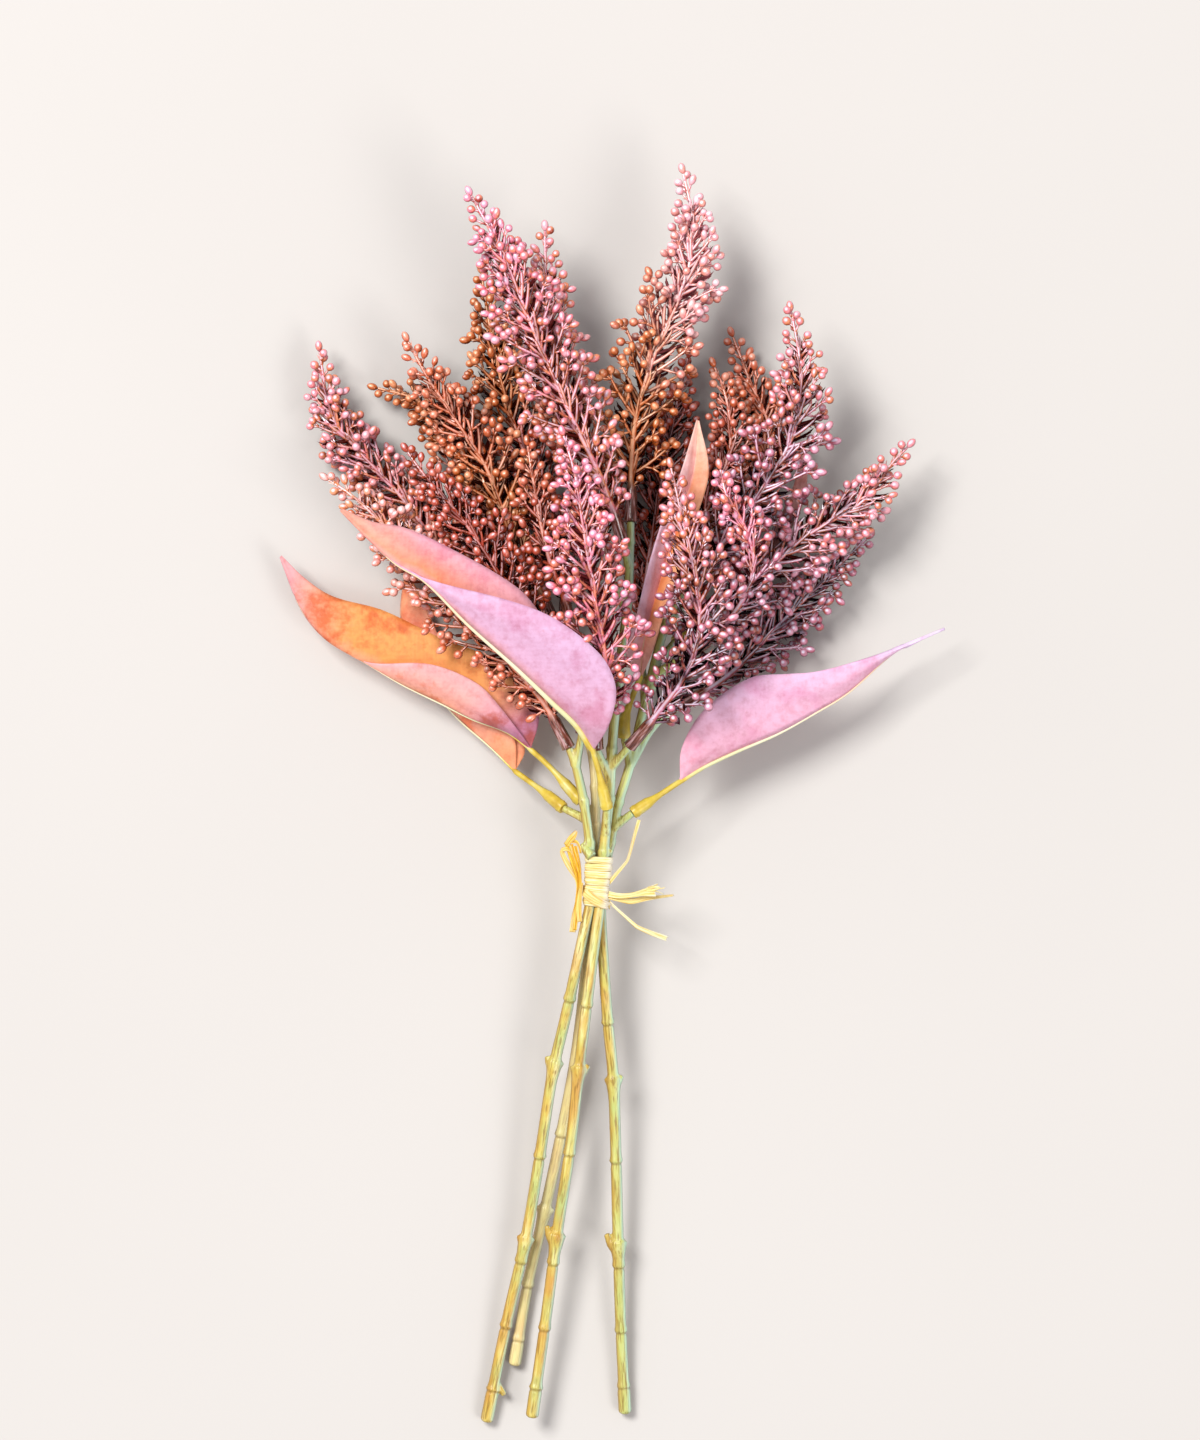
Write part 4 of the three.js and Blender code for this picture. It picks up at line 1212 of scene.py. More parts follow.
def spray_material(foot, tip):
    """The finish of a spray that runs from one family at its foot to another at its tip."""
    material, tree, shader = new_material(f"polyethylene_moulded_airbrushed_{foot}_{tip}",
                                          Roughness=0.24, IOR=1.5, Coat_Roughness=0.12)
    coords = add_node(tree, "TexCoord").outputs["Object"]
    bud, unshaded_share, height, sleeve, tint, across, along = [
        add_node(tree, "Attribute", settings={"attribute_name": name}).outputs["Fac"]
        for name in ("bud", "open", "height", "sleeve", "tint", "across", "along")]
    normal = add_node(tree, "NewGeometry").outputs["Normal"]
    facing = add_node(tree, "VectorMath", {0: normal, 1: PAINTED_LIGHT_FROM}, {"operation": "DOT_PRODUCT"})
    # The tone of the paint: blotches of 4 mm, lighter on buds and towards their tops, partly a two-tone paint
    # and partly painted shade on a bud's foot, and a shift for each branch.
    blotches = add_node(tree, "TexNoise", {"Vector": coords, "Scale": 260.0, "Detail": 2.0})
    raised = add_node(tree, "Math", {0: bud, 1: 0.12, 2: blotches}, {"operation": "MULTIPLY_ADD"})
    tone = add_node(tree, "Math", {0: tint, 1: 0.2, 2: raised}, {"operation": "MULTIPLY_ADD"})
    # Where the painted highlight starts and how strong it gets, on a twig and on a bud, and the painted shade
    # on the side away from the light.
    is_bud = add_node(tree, "MapRange", {"Value": bud, "From Min": 0.2, "From Max": 0.4})
    least = add_node(tree, "MapRange", {"Value": is_bud, "To Min": 0.7, "To Max": 0.84})
    most = add_node(tree, "MapRange", {"Value": is_bud, "To Min": 0.76, "To Max": 0.8})
    # How much lit colour the side away from the light keeps: the rest is painted shade.
    lit_side = add_node(tree, "MapRange", {"Value": facing, "From Min": -0.2, "From Max": 0.6,
                                           "To Min": 0.25})
    ends = []
    for inside, deep, warm, rosy, light, top in (FAMILIES[foot], FAMILIES[tip]):
        paint = add_node(tree, "ValToRGB", {"Fac": tone},
                         stops=[(0.42, deep), (0.56, warm), (0.7, rosy), (0.86, light)])
        # A pale painted highlight where a face turns to the upper left.
        highlighted = paint_over(tree, paint, [(facing, least, 0.99, 0.0, most, top)])
        # Painted shade: deep inside the spray, and on the side away from the light, the colour turns to the
        # inside colour.
        ends.append(paint_over(tree, inside, [(unshaded_share, 0.2, 0.64, 0.0, lit_side, highlighted)]))
    # From the foot's family to the tip's, with an uneven border, and the cover of the sleeve.
    drift = add_node(tree, "TexNoise", {"Vector": coords, "Scale": 38.0, "Detail": 2.0})
    rising = add_node(tree, "Math", {0: height, 1: drift}, {"operation": "ADD"})
    pulled = add_node(tree, "CombineXYZ", {"X": across, "Y": along})
    drawn = add_node(tree, "Mapping", {"Vector": pulled, "Scale": (1.0, 0.12, 1.0)})
    grain = add_node(tree, "TexNoise", {"Vector": drawn, "Scale": 900.0, "Detail": 3.0})
    cover = add_node(tree, "ValToRGB", {"Fac": grain},
                     stops=[(0.36, "#3e160e"), (0.5, "#7e4230"), (0.62, "#c49a98")])
    whole = paint_over(tree, ends[0], [
        (rising, 0.8, 1.2, 0.0, 1.0, ends[1]),
        (sleeve, 0.0, 1.0, 0.0, 1.0, cover)])
    # Gloss is lowered where the painted shade lies.
    gloss = add_node(tree, "MapRange", {"Value": unshaded_share, "From Min": 0.3, "From Max": 0.95,
                                        "To Min": 0.02, "To Max": 0.55})
    ribs = add_node(tree, "TexNoise", {"Vector": coords, "Scale": 620.0, "Detail": 3.0})
    relief = add_node(tree, "Bump", {"Height": ribs, "Strength": 0.35, "Distance": 0.3 * MM})
    set_inputs(shader, {"Base Color": whole, "Specular IOR Level": gloss, "Coat Weight": gloss,
                        "Normal": relief})
    return material


paints = {}
for node, spray in sprays.items():
    pair = SPRAY_COLOURS[node]
    if pair not in paints:
        paints[pair] = spray_material(*pair)
    finish_piece(spray, node, paints[pair])
print("spray finishes:", len(paints))

# %% [markdown]
# ## The leaves: printed polyester cloth, cut out and folded along a plastic midrib
#
# Each leaf is one cloth blade folded along its midrib, so that the upper half lies over the lower half
# and one sees a pink face beside an orange one. A flat grid is the natural start, because cloth is a
# sheet: every point of the grid is moved to its place between three lines, the midrib and the two free
# edges. Each half is bellied a little and its edge waves, as stiffened cloth does. Solidify then gives
# the sheet its real thickness. The stalk is a moulded rod that is thick at its foot, and it runs on as
# the midrib along the outside of the fold, thinner and thinner towards the tip.

# %% The lines of the leaves, in millimetres from below the tie
LEAF_LINES = {
    # leaf: midrib, free edge of the upper half, free edge of the lower half
    "leaf_01_front": (
        [(-7.7, 61.2, 50), (-16.9, 70, 53), (-31.6, 84, 55), (-49.3, 99.7, 55.5), (-65.8, 116, 54),
         (-76.6, 122.4, 52), (-86.6, 131.3, 49), (-98.2, 143.2, 45)],
        [(5, 62, 56), (7.3, 76, 61), (0, 89, 64.6), (-22, 104.4, 64.5), (-65.5, 117.2, 54.6),
         (-76, 123.6, 50.6), (-86, 132.4, 47.6), (-97.6, 143.6, 44.6)],
        [(-6, 68, 48.6), (-14, 84, 49.6), (-21.6, 103, 49.6), (-31.6, 114.3, 49.6), (-60.8, 131.3, 49),
         (-73.9, 137, 47.6), (-85.5, 139, 46), (-97.6, 143.9, 44.4)]),
    "leaf_02_left": (
        [(-34.7, 58.5, 18), (-48.1, 63.5, 17), (-60, 69.3, 16), (-75.8, 77, 15.6), (-89.3, 85.1, 15.4),
         (-104.3, 94, 15), (-114, 105.5, 14), (-122.4, 126, 12)],
        [(-30, 58.8, 22), (-36.5, 66, 23), (-46.6, 77, 23.2), (-64, 84.8, 22), (-89.3, 85.6, 15.6),
         (-103.6, 95, 13.8), (-113, 106.4, 12.8), (-122, 126.2, 11.6)],
        [(-22.3, 63.5, 17.4), (-24.5, 72, 17.4), (-41.2, 87, 17.4), (-60.8, 95, 17), (-82.8, 105.5, 16),
         (-102.4, 111, 14.4), (-113.2, 118.2, 13), (-121.8, 126.6, 11.6)]),
    "leaf_03_left_low": (
        [(-41.2, 52.7, 9), (-51.2, 61.2, 6.6), (-57, 67, 5.4), (-66, 78, 4.4), (-73, 90, 4), (-76, 104, 4),
         (-74, 121, 5)],
        [(-31.4, 54.7, 12.6), (-37, 66, 11), (-45, 76, 9.6), (-53, 85, 8), (-60, 94, 7), (-64.6, 104, 6.4),
         (-73.4, 121, 5.6)],
        [(-27.7, 51.6, 10.6), (-32, 63, 8.6), (-42, 74, 6.4), (-52, 84, 4.4), (-59, 93, 3), (-66, 104, 2.6),
         (-73.2, 120.4, 4.4)]),
    "leaf_04_right": (
        [(40.8, 45, 26), (53.9, 51.2, 25.4), (69.3, 57.8, 25), (83.9, 65.8, 24.6), (96.6, 73.5, 24),
         (112.4, 87.4, 23), (121.3, 92.8, 22), (134, 98, 20)],
        [(32.7, 52, 31), (40.8, 66.6, 32), (58.5, 79, 31.4), (72.4, 80.9, 30.4), (83.9, 82, 29),
         (98.6, 85.5, 27), (111.7, 89.6, 24), (133.6, 98.4, 20.6)],
        [(36, 50, 24.6), (44, 60, 24), (60, 71, 23.4), (74, 75, 23), (86, 77.6, 22.6), (99, 83, 22),
         (112.6, 89, 21.6), (133.8, 98.6, 19.4)]),
    "leaf_05_middle": (
        [(17.6, 90, 33), (20.6, 104, 35), (25.6, 122, 35), (31, 140, 35), (37, 158, 35), (38.8, 178, 33)],
        [(20.6, 88, 36), (25.4, 103, 40), (31.6, 120, 40), (38.4, 140, 39), (42.8, 158, 38),
         (39.2, 178, 33.6)],
        [(10.8, 86, 33), (15.6, 104, 40), (20.4, 123, 41), (25.4, 141, 40), (32, 158, 39),
         (38.2, 178.4, 33.6)]),
    "leaf_06_back_right": (
        [(57, 120, 9), (66, 133, 12), (73, 146, 15), (77, 157, 16.6), (79, 168, 17)],
        [(61, 118, 10), (71.4, 131, 13), (78.4, 144, 15.4), (81, 156, 16.8), (79.4, 168, 17.4)],
        [(60, 118.6, 7.8), (70, 132, 10), (77, 145, 12.8), (80, 156.6, 14.8), (79.6, 168.4, 16.4)]),
}
print("leaves:", list(LEAF_LINES))

# %% Model the blades
BLADE_THICKNESS = 0.5 * MM
BLADE_ROWS = 72
BLADE_COLUMNS = 20
FULL_WIDTH = 14 * MM
BELLY = 1.6 * MM
WAVE = 0.9 * MM
RUFFLE = 0.4 * WAVE
RIPPLE = 0.3 * MM
LOWER_BELLY = 0.4
LOOK_AHEAD = 0.02
SEAM_START = 0.3 * MM
SEAM_HALF_WIDTH = 0.5 * MM


def leaf_routes(leaf):
    """The midrib and the two free edges, which all start at the end of the stalk."""
    before, last = [ring_centre(ring) for ring in ring_walk(leaf + "_stalk")[-2:]]
    heading = (last - before).normalized()
    start = last + heading * SEAM_START
    side = level_side(heading) * SEAM_HALF_WIDTH
    shifts = (Vector(), side, -side)
    return [Route([start + shift] + [place(point) for point in line])
            for shift, line in zip(shifts, LEAF_LINES[leaf])]


def model_blade(leaf, seed):
    """The folded cloth of one leaf."""
    chance = random.Random(seed)
    midrib, upper, lower = leaf_routes(leaf)
    deselect()
    bpy.ops.mesh.primitive_grid_add(x_subdivisions=BLADE_COLUMNS, y_subdivisions=BLADE_ROWS, size=2)
    blade = bpy.context.object
    phase = [chance.uniform(0, math.tau) for _ in range(3)]
    for vertex in blade.data.vertices:
        across, share = vertex.co.x, (vertex.co.y + 1) / 2
        middle = midrib.between_knots(share)
        ahead = midrib.between_knots(min(share + LOOK_AHEAD, 1.0))
        ahead -= midrib.between_knots(max(share - LOOK_AHEAD, 0.0))
        edge = (upper if across > 0 else lower).between_knots(share)
        reach = edge - middle
        outside = ahead.cross(reach).normalized() * (1 if across > 0 else -1)
        if outside.z < 0:
            outside.negate()
        part = abs(across)
        wide = min(1.0, reach.length / FULL_WIDTH)
        lift = BELLY * wide * math.sin(math.pi * part) * (1.0 if across > 0 else LOWER_BELLY)
        lift += WAVE * wide * part * part * math.sin(7.5 * share + phase[0] + (1.7 if across > 0 else 0))
        lift += RUFFLE * wide * part * math.sin(19 * share + phase[1])
        lift += RIPPLE * wide * math.sin(9 * across + 13 * share + phase[2])
        vertex.co = middle + reach * part + outside * lift
    blade.name = leaf + "_cloth"
    add_modifier(blade, "SOLIDIFY", thickness=BLADE_THICKNESS, offset=0.0)
    bpy.ops.object.shade_smooth()
    return blade


blades = {leaf: model_blade(leaf, seed) for seed, leaf in enumerate(LEAF_LINES)}
print("faces of the blades:", [len(blade.data.polygons) for blade in blades.values()])

# %% Model the stalks
STALK_RADIUS = 1.1 * MM
STALK_SWELL = 1.25 * MM
STALK_STEPS = 30
SWELL_START = 0.18
SWELL_LENGTH = 0.45
RIB_RADIUS = {"leaf_01_front": 1.15 * MM, "leaf_04_right": 0.75 * MM}
THIN_RIB_RADIUS = 0.42 * MM
RIB_STEPS = 60
RIB_END = 0.86
RIB_FOOT_SIZE = 1.1
RIB_NARROWING = 0.95
RIB_OUTSIDE = 0.35


def model_stalk(leaf):
    """The plastic stalk with its swollen foot, which runs on as the midrib along the fold."""
    foot = Route([ring_centre(ring) for ring in ring_walk(leaf + "_stalk")])
    midrib = leaf_routes(leaf)[0]
    stations = []
    for index in range(STALK_STEPS + 1):
        share = index / STALK_STEPS
        swell = 1 - min(1.0, max(0.0, share - SWELL_START) / SWELL_LENGTH)
        radius = STALK_RADIUS + STALK_SWELL * swell * swell * (3 - 2 * swell)
        # Two soft rings round the stalk.
        radius *= 1 + 0.12 * bump(share, 0.06, 0.02, 0.03) + 0.1 * bump(share, 0.33, 0.03, 0.05)
        stations.append((foot.at(foot.length * share)[0], radius))
    # From here on it is the midrib, which lies a little outside the fold.
    for index in range(1, RIB_STEPS + 1):
        share = RIB_END * index / RIB_STEPS
        spot, heading = midrib.at(midrib.length * share)
        outside = -level_side(heading)
        if outside.y > 0:
            outside.negate()
        radius = RIB_RADIUS.get(leaf, THIN_RIB_RADIUS) * (RIB_FOOT_SIZE - RIB_NARROWING * share / RIB_END)
        stations.append((spot + outside * RIB_OUTSIDE * radius, radius))
    stalk = rod(leaf + "_moulded_stalk", stations, 2)
    mark(stalk, "blade_share", [max(0.0, (vertex.co - foot.points[-1]).length / midrib.length)
                                if (vertex.co - foot.points[0]).length > foot.length * 0.9 else 0.0
                                for vertex in stalk.data.vertices])
    return stalk


stalks = {leaf: model_stalk(leaf) for leaf in LEAF_LINES}
print("faces of the stalks:", [len(stalk.data.polygons) for stalk in stalks.values()])

# %% [markdown]
# ## The cloth: woven polyester, printed in watercolour and heat-stiffened
#
# The print runs from orange along the fold to pink at the edges, with other tones at the foot and at the
# tip. Over it lie stains a few millimetres wide, a fine mottling and small specks. The stains and the
# mottling are multiplied, as ink that soaks in darkens what is there. The grid's own UV map says how far
# across and how far along the blade a point is. The weave is about 0.3 mm, too fine to see from here,
# so it is drawn at 0.8 mm and only as a faint relief, and a larger crumple lies over it.

# %% Leaf materials
LEAF_COLOURS = {
    # leaf: lower edge, lower half by the fold, upper half by the fold, upper edge, tip, foot, stain
    "leaf_01_front": ("#e8a8ba", "#e8895e", "#dcacc8", "#dab0d0", "#f3a98e", "#d8a2ba", "#f0d4dc"),
    "leaf_02_left": ("#f2a458", "#f09a4c", "#f2a690", "#f0b0b0", "#e6a0a8", "#b06c92", "#e09258"),
    "leaf_03_left_low": ("#f6ac92", "#f6a67c", "#f8ae98", "#fab4a0", "#fca870", "#f09a68", "#f2b48c"),
    "leaf_04_right": ("#f0b4c8", "#eeb0ca", "#f0b6ce", "#eebedd", "#ecdafa", "#efb0c2", "#f4dce8"),
    "leaf_05_middle": ("#fad0e6", "#f4bcd0", "#ff9c58", "#ffb07c", "#ffceb8", "#fcb8ae", "#f8dcd0"),
    "leaf_06_back_right": ("#f0b4ae", "#eda9a0", "#f0b0a8", "#f3bcb4", "#f3b8b0", "#e9a79e", "#f2d0c8"),
}


def leaf_material(leaf):
    """The printed cloth of one leaf."""
    lower_edge, lower_fold, upper_fold, upper_edge, tip, foot, stain = LEAF_COLOURS[leaf]
    material, tree, shader = new_material("polyester_woven_printed_" + leaf[:7], Roughness=0.62,
                                          IOR=1.5, Sheen_Weight=0.15)
    texture = add_node(tree, "TexCoord").outputs
    coords = texture["Object"]
    grid = add_node(tree, "SeparateXYZ", {"Vector": texture["UV"]}).outputs
    clouds = add_node(tree, "TexNoise", {"Vector": coords, "Scale": 85.0, "Detail": 5.0, "Roughness": 0.6})
    wander = add_node(tree, "Math", {0: clouds, 1: 0.16, 2: grid["X"]}, {"operation": "MULTIPLY_ADD"})
    across = add_node(tree, "Math", {0: wander, 1: 0.08}, {"operation": "SUBTRACT"})
    along = add_node(tree, "Math", {0: clouds, 1: 0.2, 2: grid["Y"]}, {"operation": "MULTIPLY_ADD"})
    bands = add_node(tree, "ValToRGB", {"Fac": across},
                     stops=[(0.0, lower_edge), (0.4, lower_fold), (0.6, upper_fold), (0.95, upper_edge)])
    stained = paint_over(tree, bands, [
        (along, 0.78, 1.05, 0.0, 0.9, tip),
        (along, 0.46, 0.22, 0.0, 0.9, foot),
        (clouds, 0.5, 0.36, 0.0, 0.8, stain, "MULTIPLY")])
    mottle = add_node(tree, "TexNoise", {"Vector": coords, "Scale": 330.0, "Detail": 6.0, "Roughness": 0.65})
    mottle_tone = add_node(tree, "ValToRGB", {"Fac": mottle},
                           stops=[(0.34, "#dfbfc0"), (0.5, "#f6ecec"), (0.64, "#ffffff")])
    mottled = add_node(tree, "Mix", {0: 0.55, 6: stained, 7: mottle_tone},
                       {"data_type": "RGBA", "blend_type": "MULTIPLY"})
    specks = add_node(tree, "TexVoronoi", {"Vector": coords, "Scale": 190.0}).outputs["Distance"]
    printed = paint_over(tree, mottled, [(specks, 0.12, 0.05, 0.0, 0.14, "#c96a5e")])
    warp, weft = [add_node(tree, "TexWave", {"Vector": coords, "Scale": 200.0, "Distortion": 0.6},
                           {"bands_direction": direction}).outputs["Fac"] for direction in "XY"]
    weave = add_node(tree, "Math", {0: warp, 1: weft}, {"operation": "ADD"})
    relief = add_node(tree, "Bump", {"Height": weave, "Strength": 0.12, "Distance": 0.2 * MM})
    crumple = add_node(tree, "Bump", {"Height": clouds, "Strength": 0.25, "Distance": 1.5 * MM,
                                      "Normal": relief})
    set_inputs(shader, {"Base Color": printed, "Normal": crumple})
    return material


for leaf, blade in blades.items():
    finish_piece(blade, leaf + "_blade", leaf_material(leaf))

print("leaf finishes:", len(blades))

# %% Stalk material
material, tree, shader = new_material("polyethylene_moulded_pale_gold", Roughness=0.36, IOR=1.5)
coords = add_node(tree, "TexCoord").outputs["Object"]
share = add_node(tree, "Attribute", settings={"attribute_name": "blade_share"}).outputs["Fac"]
blotches = add_node(tree, "TexNoise", {"Vector": coords, "Scale": 150.0, "Detail": 4.0})
uneven = add_node(tree, "Math", {0: blotches, 1: 0.3, 2: share}, {"operation": "MULTIPLY_ADD"})
tones = add_node(tree, "ValToRGB", {"Fac": uneven},
                 stops=[(0.08, "#b9942c"), (0.16, "#ddc248"), (0.24, "#dcdca0"), (0.5, "#ece6c4"),
                        (0.9, "#e8c8a0")])
set_inputs(shader, {"Base Color": tones})
for leaf, stalk in stalks.items():
    finish_piece(stalk, leaf + "_stalk", material)
print("stalks:", len(stalks))

# %% [markdown]
# ## The raffia: strips of dried palm leaf
#
# Raffia is a flat strip of leaf, about 3 mm wide, that dries with folds along its length. A cord would
# be swept from a round section, but a strip is a sheet, so each one starts as a flat grid and every
# point is laid across a line at its place. Solidify gives it the thickness of a leaf. How far across and
# how far along a point lies, in millimetres, is stored for the fibres of the material.

# %% Lay a strip along a line
STRIP_THICKNESS = 0.28 * MM
STRIP_COLUMNS = 6
ROW_PITCH = 0.7 * MM
FEWEST_ROWS = 12
STRIP_RIPPLE = 0.09 * MM


def strip_grid(name, rows):
    """A flat grid to lay as a strip, with across from -1 to 1 and a share from 0 to 1 for each point."""
    deselect()
    bpy.ops.mesh.primitive_grid_add(x_subdivisions=STRIP_COLUMNS, y_subdivisions=rows, size=2)
    strip = bpy.context.object
    strip.name = name
    return strip, [(vertex, vertex.co.x, (vertex.co.y + 1) / 2) for vertex in strip.data.vertices]


def finish_strip(strip, width, length, gold):
    """Store where the fibres run, then give the sheet its thickness."""
    row = STRIP_COLUMNS + 1
    count = len(strip.data.vertices)
    mark(strip, "along", [(index // row) / (count / row - 1) * length / MM for index in range(count)])
    mark(strip, "across", [((index % row) / STRIP_COLUMNS - 0.5) * width / MM for index in range(count)])
    mark(strip, "gold", gold)
    add_modifier(strip, "SOLIDIFY", thickness=STRIP_THICKNESS, offset=0.0)
    bpy.ops.object.shade_smooth()
    return strip


def raffia_strip(line, width, seed, roll=0.0, twist=0.5, gold=0.3, end_width=0.7):
    """A folded dry strip along a line of places, which turns a little on its way."""
    chance = random.Random(seed)
    route = Route(line)
    phase = [chance.uniform(0, math.tau) for _ in range(4)]
    strip, points = strip_grid("strip", max(FEWEST_ROWS, round(route.length / ROW_PITCH)))
    for vertex, across, share in points:
        spot, heading = route.at(route.length * share)
        side = level_side(heading)
        lift = side.cross(heading)
        turn = roll + twist * math.sin(2.6 * share + phase[0])
        flat = side * math.cos(turn) + lift * math.sin(turn)
        half = 0.5 * width * (1 + (end_width - 1) * share ** 3) * (1 + 0.14 * math.sin(6 * share + phase[1]))
        fold = 0.3 * half * abs(across + 0.3 * math.sin(3 * share + phase[2]))
        ripple = STRIP_RIPPLE * math.sin(9 * across + phase[3])
        vertex.co = spot + flat * across * half + flat.cross(heading) * (fold + ripple)
    return finish_strip(strip, width, route.length, gold)


print("strip thickness in mm:", STRIP_THICKNESS / MM)

# %% [markdown]
# The tie itself is one strip wound about seven times round the stems. The bundle is a rounded square
# there, so the strip follows that outline and climbs one pitch each turn. The dry strip bulges along
# its middle, and the low edges between two turns give the dark line that is seen on the real tie. The
# last strip crosses the front from the bunch of ends on the left to the foot of the tie.

# %% Wind the tie
WRAP_TURNS = 7.0
WRAP_BOTTOM = -8.2 * MM
WRAP_PITCH = 2.7 * MM
WRAP_STRIP_WIDTH = 2.9 * MM
WRAP_HALF_SIZE = 4.35 * MM
WRAP_FLARE = 0.07
TURN_LENGTH = 36 * MM
WRAP_ROWS = 300
WRAP_START = 1.0
CROWN = 0.42 * MM
TIE_HEIGHT = 26.9 * MM
TIE_LEAN = 0.09
CROSSING_WIDTH = 3.4 * MM
CROSSING_HEIGHT = 0.6 * MM
# The last strip: an angle round the tie and a distance along it in millimetres, for each point.
CROSSING = ((3.0, -0.5), (2.55, -2.4), (2.1, -4.2), (1.6, -6.0), (1.1, -7.4), (0.5, -8.2), (0.0, -8.4))


def on_wrap(angle, along, out):
    """A place on the rounded square round the stems, at a height along them."""
    level, depth = math.cos(angle), math.sin(angle)
    stretch = (level ** 4 + depth ** 4) ** -0.25
    half = WRAP_HALF_SIZE + out
    return ORIGIN + Vector(((half + WRAP_FLARE * max(0.0, along)) * level * stretch + TIE_LEAN * along, along,
                            TIE_HEIGHT + TIE_LEAN * along + half * depth * stretch))


def wind_tie():
    """The long strip wound round the stems."""
    chance = random.Random(5)
    phase = [chance.uniform(0, math.tau) for _ in range(4)]
    strip, points = strip_grid("wound_strip", WRAP_ROWS)
    for vertex, across, share in points:
        angle = math.tau * WRAP_TURNS * share - WRAP_START
        half = 0.5 * WRAP_STRIP_WIDTH * (1 + 0.1 * math.sin(1.3 * angle + phase[0]))
        along = WRAP_BOTTOM + WRAP_PITCH * WRAP_TURNS * share + across * half
        along += 0.22 * MM * math.sin(0.9 * angle + phase[1])
        crown = CROWN * (1 - across * across) + 0.12 * MM * across
        crease = 0.07 * MM * math.sin(4 * across + 0.7 * angle + phase[2])
        vertex.co = on_wrap(angle, along, crown + crease + 0.15 * MM * math.sin(2.3 * angle + phase[3]))
    return finish_strip(strip, WRAP_STRIP_WIDTH, WRAP_TURNS * TURN_LENGTH, 0.15)


crossing = [on_wrap(angle, along * MM, CROSSING_HEIGHT) for angle, along in CROSSING]
wound = wind_tie()
last_strip = raffia_strip(crossing, CROSSING_WIDTH, 6, twist=0.1, gold=0.45, end_width=0.9)
wrap = join([wound, last_strip], "raffia_wound")
print("faces of the tie:", len(wrap.data.polygons))

# %% [markdown]
# The loose ends come out of the tie where the CAD model has them. The bunch on the left is several
# golden strips that part above and below the waist, where the tie grips them, and one of them comes back
# down as a loop. One end on the right is split into fibres, as dry raffia does where it is cut.

# %% The loose ends, in millimetres from below the tie
LOOSE_ENDS = {
    # node: for each strip its line, width at the start and at the end, roll, twist and share of gold
    "raffia_left_bunch": [
        ([(-8.6, -17.6, 28), (-7.4, -7, 29.4), (-6.8, 0.6, 30), (-9.4, 9, 30.8), (-11.8, 16, 31)],
         1.9, 1.6, 0.2, 0.4, 0.95),
        ([(-7, -12, 28.4), (-6.6, -5, 29.8), (-6.4, 0.6, 30.6), (-7.9, 8.6, 31.2), (-10, 15.4, 31.8)],
         1.2, 1.9, -0.2, 0.5, 1.0),
        ([(-7.6, -10, 29), (-6.4, -3, 30.4), (-6.2, 1, 31), (-6.6, 8, 31.6), (-8.2, 14.8, 32)],
         1.0, 1.7, 0.3, 0.4, 0.9),
        ([(-11.6, 15, 31.4), (-10.4, 17, 32), (-9, 18.6, 32.2), (-7.8, 20.6, 32)],
         2.6, 0.8, 0.0, 0.2, 0.8),
        ([(-9.8, 16.4, 31.8), (-8, 16.4, 32.2), (-6.6, 14.2, 32), (-6.2, 12, 31.4)],
         1.2, 0.7, 0.0, 0.3, 0.9)],
    "raffia_left_tail": [
        ([(-9.4, -18.4, 25.8), (-8.6, -12, 26.4), (-7, -4, 28), (-7.4, 1.6, 29), (-10.4, 6.4, 29.6),
          (-13, 11.4, 30), (-13.2, 13.2, 30.4), (-11.6, 13.6, 30.8), (-10, 12.8, 31)],
         2.3, 1.3, 0.2, 0.3, 0.6)],
    "raffia_left_end": [
        ([(-6.6, -14.4, 29.2), (-6.9, -9, 29.8), (-6.4, -3, 30.6), (-5.6, 0.6, 31.4)],
         2.2, 1.2, 0.2, 0.3, 0.7)],
    "raffia_right_long": [
        ([(4.6, 0.4, 29.2), (7.8, 4.4, 30), (11.4, 8.8, 30.4), (12.3, 11, 30.6), (14.2, 18, 31.2),
          (16.2, 24.8, 32)], 1.2, 1.1, 0.4, 0.8, 0.35)],
    "raffia_right_flat": [
        ([(4.4, -4.8, 28.4), (9.6, -5.9, 28.8), (13.1, -6.5, 28.8), (18.5, -5.5, 28.4), (29.6, -4.2, 27)],
         2.0, 0.6, 0.1, 0.2, 0.4)],
    "raffia_right_frayed": [
        ([(4.4, -3.8, 29), (8, -4.4, 29.8), (12.7, -4.2, 30.6), (18.5, -3, 31), (22.4, -2.6, 31)],
         2.0, 3.7, 0.1, 0.2, 0.25),
        ([(19, -1.6, 31.2), (22, -0.9, 31.6), (24.6, -1.4, 31.2)], 0.9, 0.4, 0.2, 0.8, 0.0),
        ([(19, -2.2, 31.2), (22.6, -2.6, 31.4), (25.6, -3.8, 30.4)], 0.9, 0.4, 0.5, 0.8, 0.0),
        ([(19.6, -1.2, 31), (22.4, -0.2, 31.8), (23.4, 0.2, 32)], 0.7, 0.3, 0.0, 0.9, 0.2),
        ([(20, -2.6, 31), (23.4, -1.8, 31.8), (26.2, -1.2, 32)], 0.6, 0.3, 0.3, 0.9, 0.0)],
    "raffia_right_low": [
        ([(4.4, -6.4, 27.4), (6.6, -8.6, 27), (14.4, -15.6, 25.6), (15.6, -16.5, 25.4), (20.4, -18.6, 24),
          (27, -21, 22)], 1.1, 2.0, 0.2, 0.3, 0.1)],
}
ends = {}
for node, strips in LOOSE_ENDS.items():
    parts = []
    for line, start_width, end_width, roll, twist, gold in strips:
        places = [place(point) for point in line]
        seed = len(ends) * 10 + len(parts)
        narrowing = end_width / start_width
        parts.append(raffia_strip(places, start_width * MM, seed, roll, twist, gold, narrowing))
    ends[node] = join(parts, node + "_strips")
print("loose ends:", len(ends))

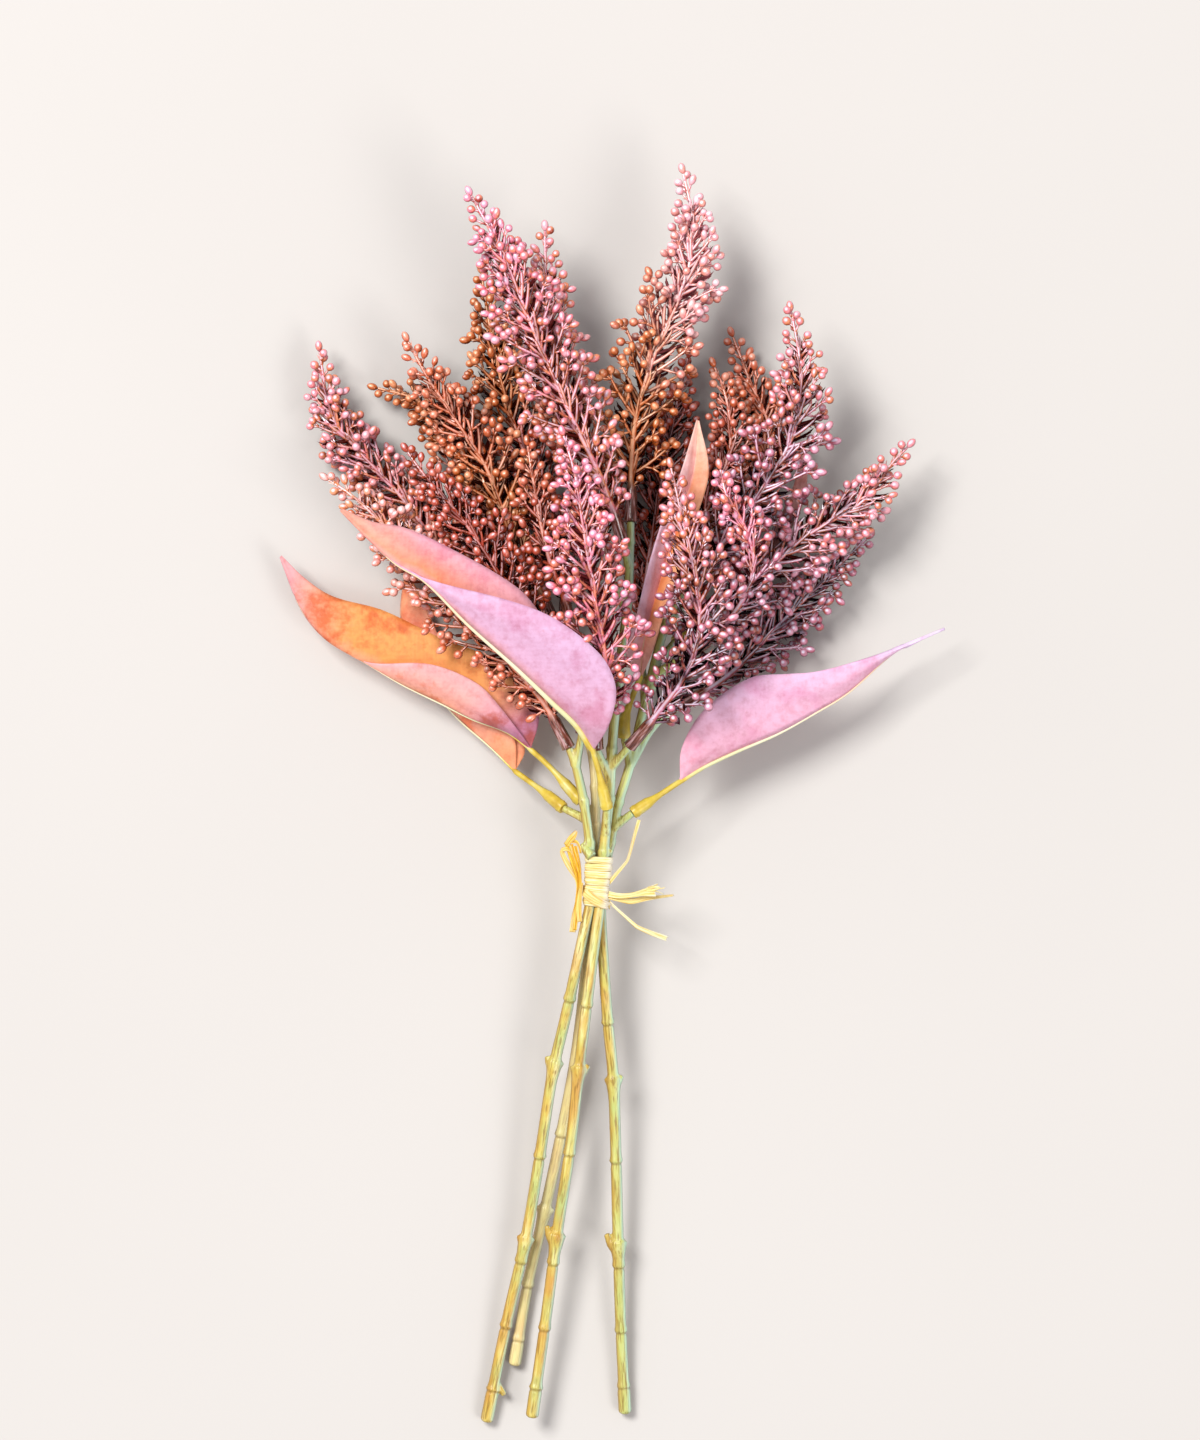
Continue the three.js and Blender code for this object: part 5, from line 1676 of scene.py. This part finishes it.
# %% [markdown]
# ## The raffia material: palm leaf, dried and split
#
# Fresh strips dry to a pale cream, and older or thicker ones to gold, darker towards their edges, and the
# side that faces right is whiter, as the light glances off it. The fibres run the whole length of a strip
# and are 0.2 to 0.5 mm wide, so the pattern is stretched along the strip by the stored places, and the
# same pattern gives a silky relief.

# %% Raffia material
material, tree, shader = new_material("palm_leaf_dried_split", Roughness=0.5, IOR=1.45,
                                      Specular_IOR_Level=0.25)
across, along, gold = [add_node(tree, "Attribute", settings={"attribute_name": name}).outputs["Fac"]
                       for name in ("across", "along", "gold")]
strip_place = add_node(tree, "CombineXYZ", {"X": across, "Y": along})
fibre_place = add_node(tree, "Mapping", {"Vector": strip_place, "Scale": (2.4, 0.09, 1.0)})
fibres = add_node(tree, "TexNoise", {"Vector": fibre_place, "Scale": 1.0, "Detail": 4.0, "Roughness": 0.6})
pale = add_node(tree, "ValToRGB", {"Fac": fibres},
                stops=[(0.32, "#dcb24c"), (0.44, "#f0da88"), (0.56, "#f8f0be"), (0.7, "#fffcea")])
golden = add_node(tree, "ValToRGB", {"Fac": fibres},
                  stops=[(0.36, "#a86404"), (0.46, "#d89a10"), (0.58, "#efc634"), (0.7, "#f8e888")])
off_middle = add_node(tree, "Math", {0: across}, {"operation": "ABSOLUTE"})
normal = add_node(tree, "NewGeometry").outputs["Normal"]
sideways = add_node(tree, "SeparateXYZ", {"Vector": normal}).outputs["X"]
dried = paint_over(tree, pale, [
    (gold, 0.0, 1.0, 0.0, 1.0, golden),
    (off_middle, 1.05, 1.4, 0.0, 0.4, "#c9963a"),
    (sideways, 0.1, 0.7, 0.0, 0.6, "#fffdf6")])
relief = add_node(tree, "Bump", {"Height": fibres, "Strength": 0.4, "Distance": 0.3 * MM})
set_inputs(shader, {"Base Color": dried, "Normal": relief})
finish_piece(wrap, "raffia_wrap", material)
for node, end in ends.items():
    finish_piece(end, node, material)
print("raffia pieces:", 1 + len(ends))

# %% [markdown]
# ## Removing the pieces copied from
#
# The twigs, branches and buds that were only copied from are removed. The fine model may stand only a
# little proud of the CAD model.

# %% Remove the copied-from pieces
prototypes = [ROUND_BUD, OVAL_BUD, SCALE, CUP, *CUP_TWIGS, *BARE_TWIGS, *(branch for _, branch in BRANCHES)]
prototypes += [floret for kind in FLORETS.values() for floret in kind]
for name in {prototype.name for prototype in prototypes}:
    bpy.data.objects.remove(bpy.data.objects[name])
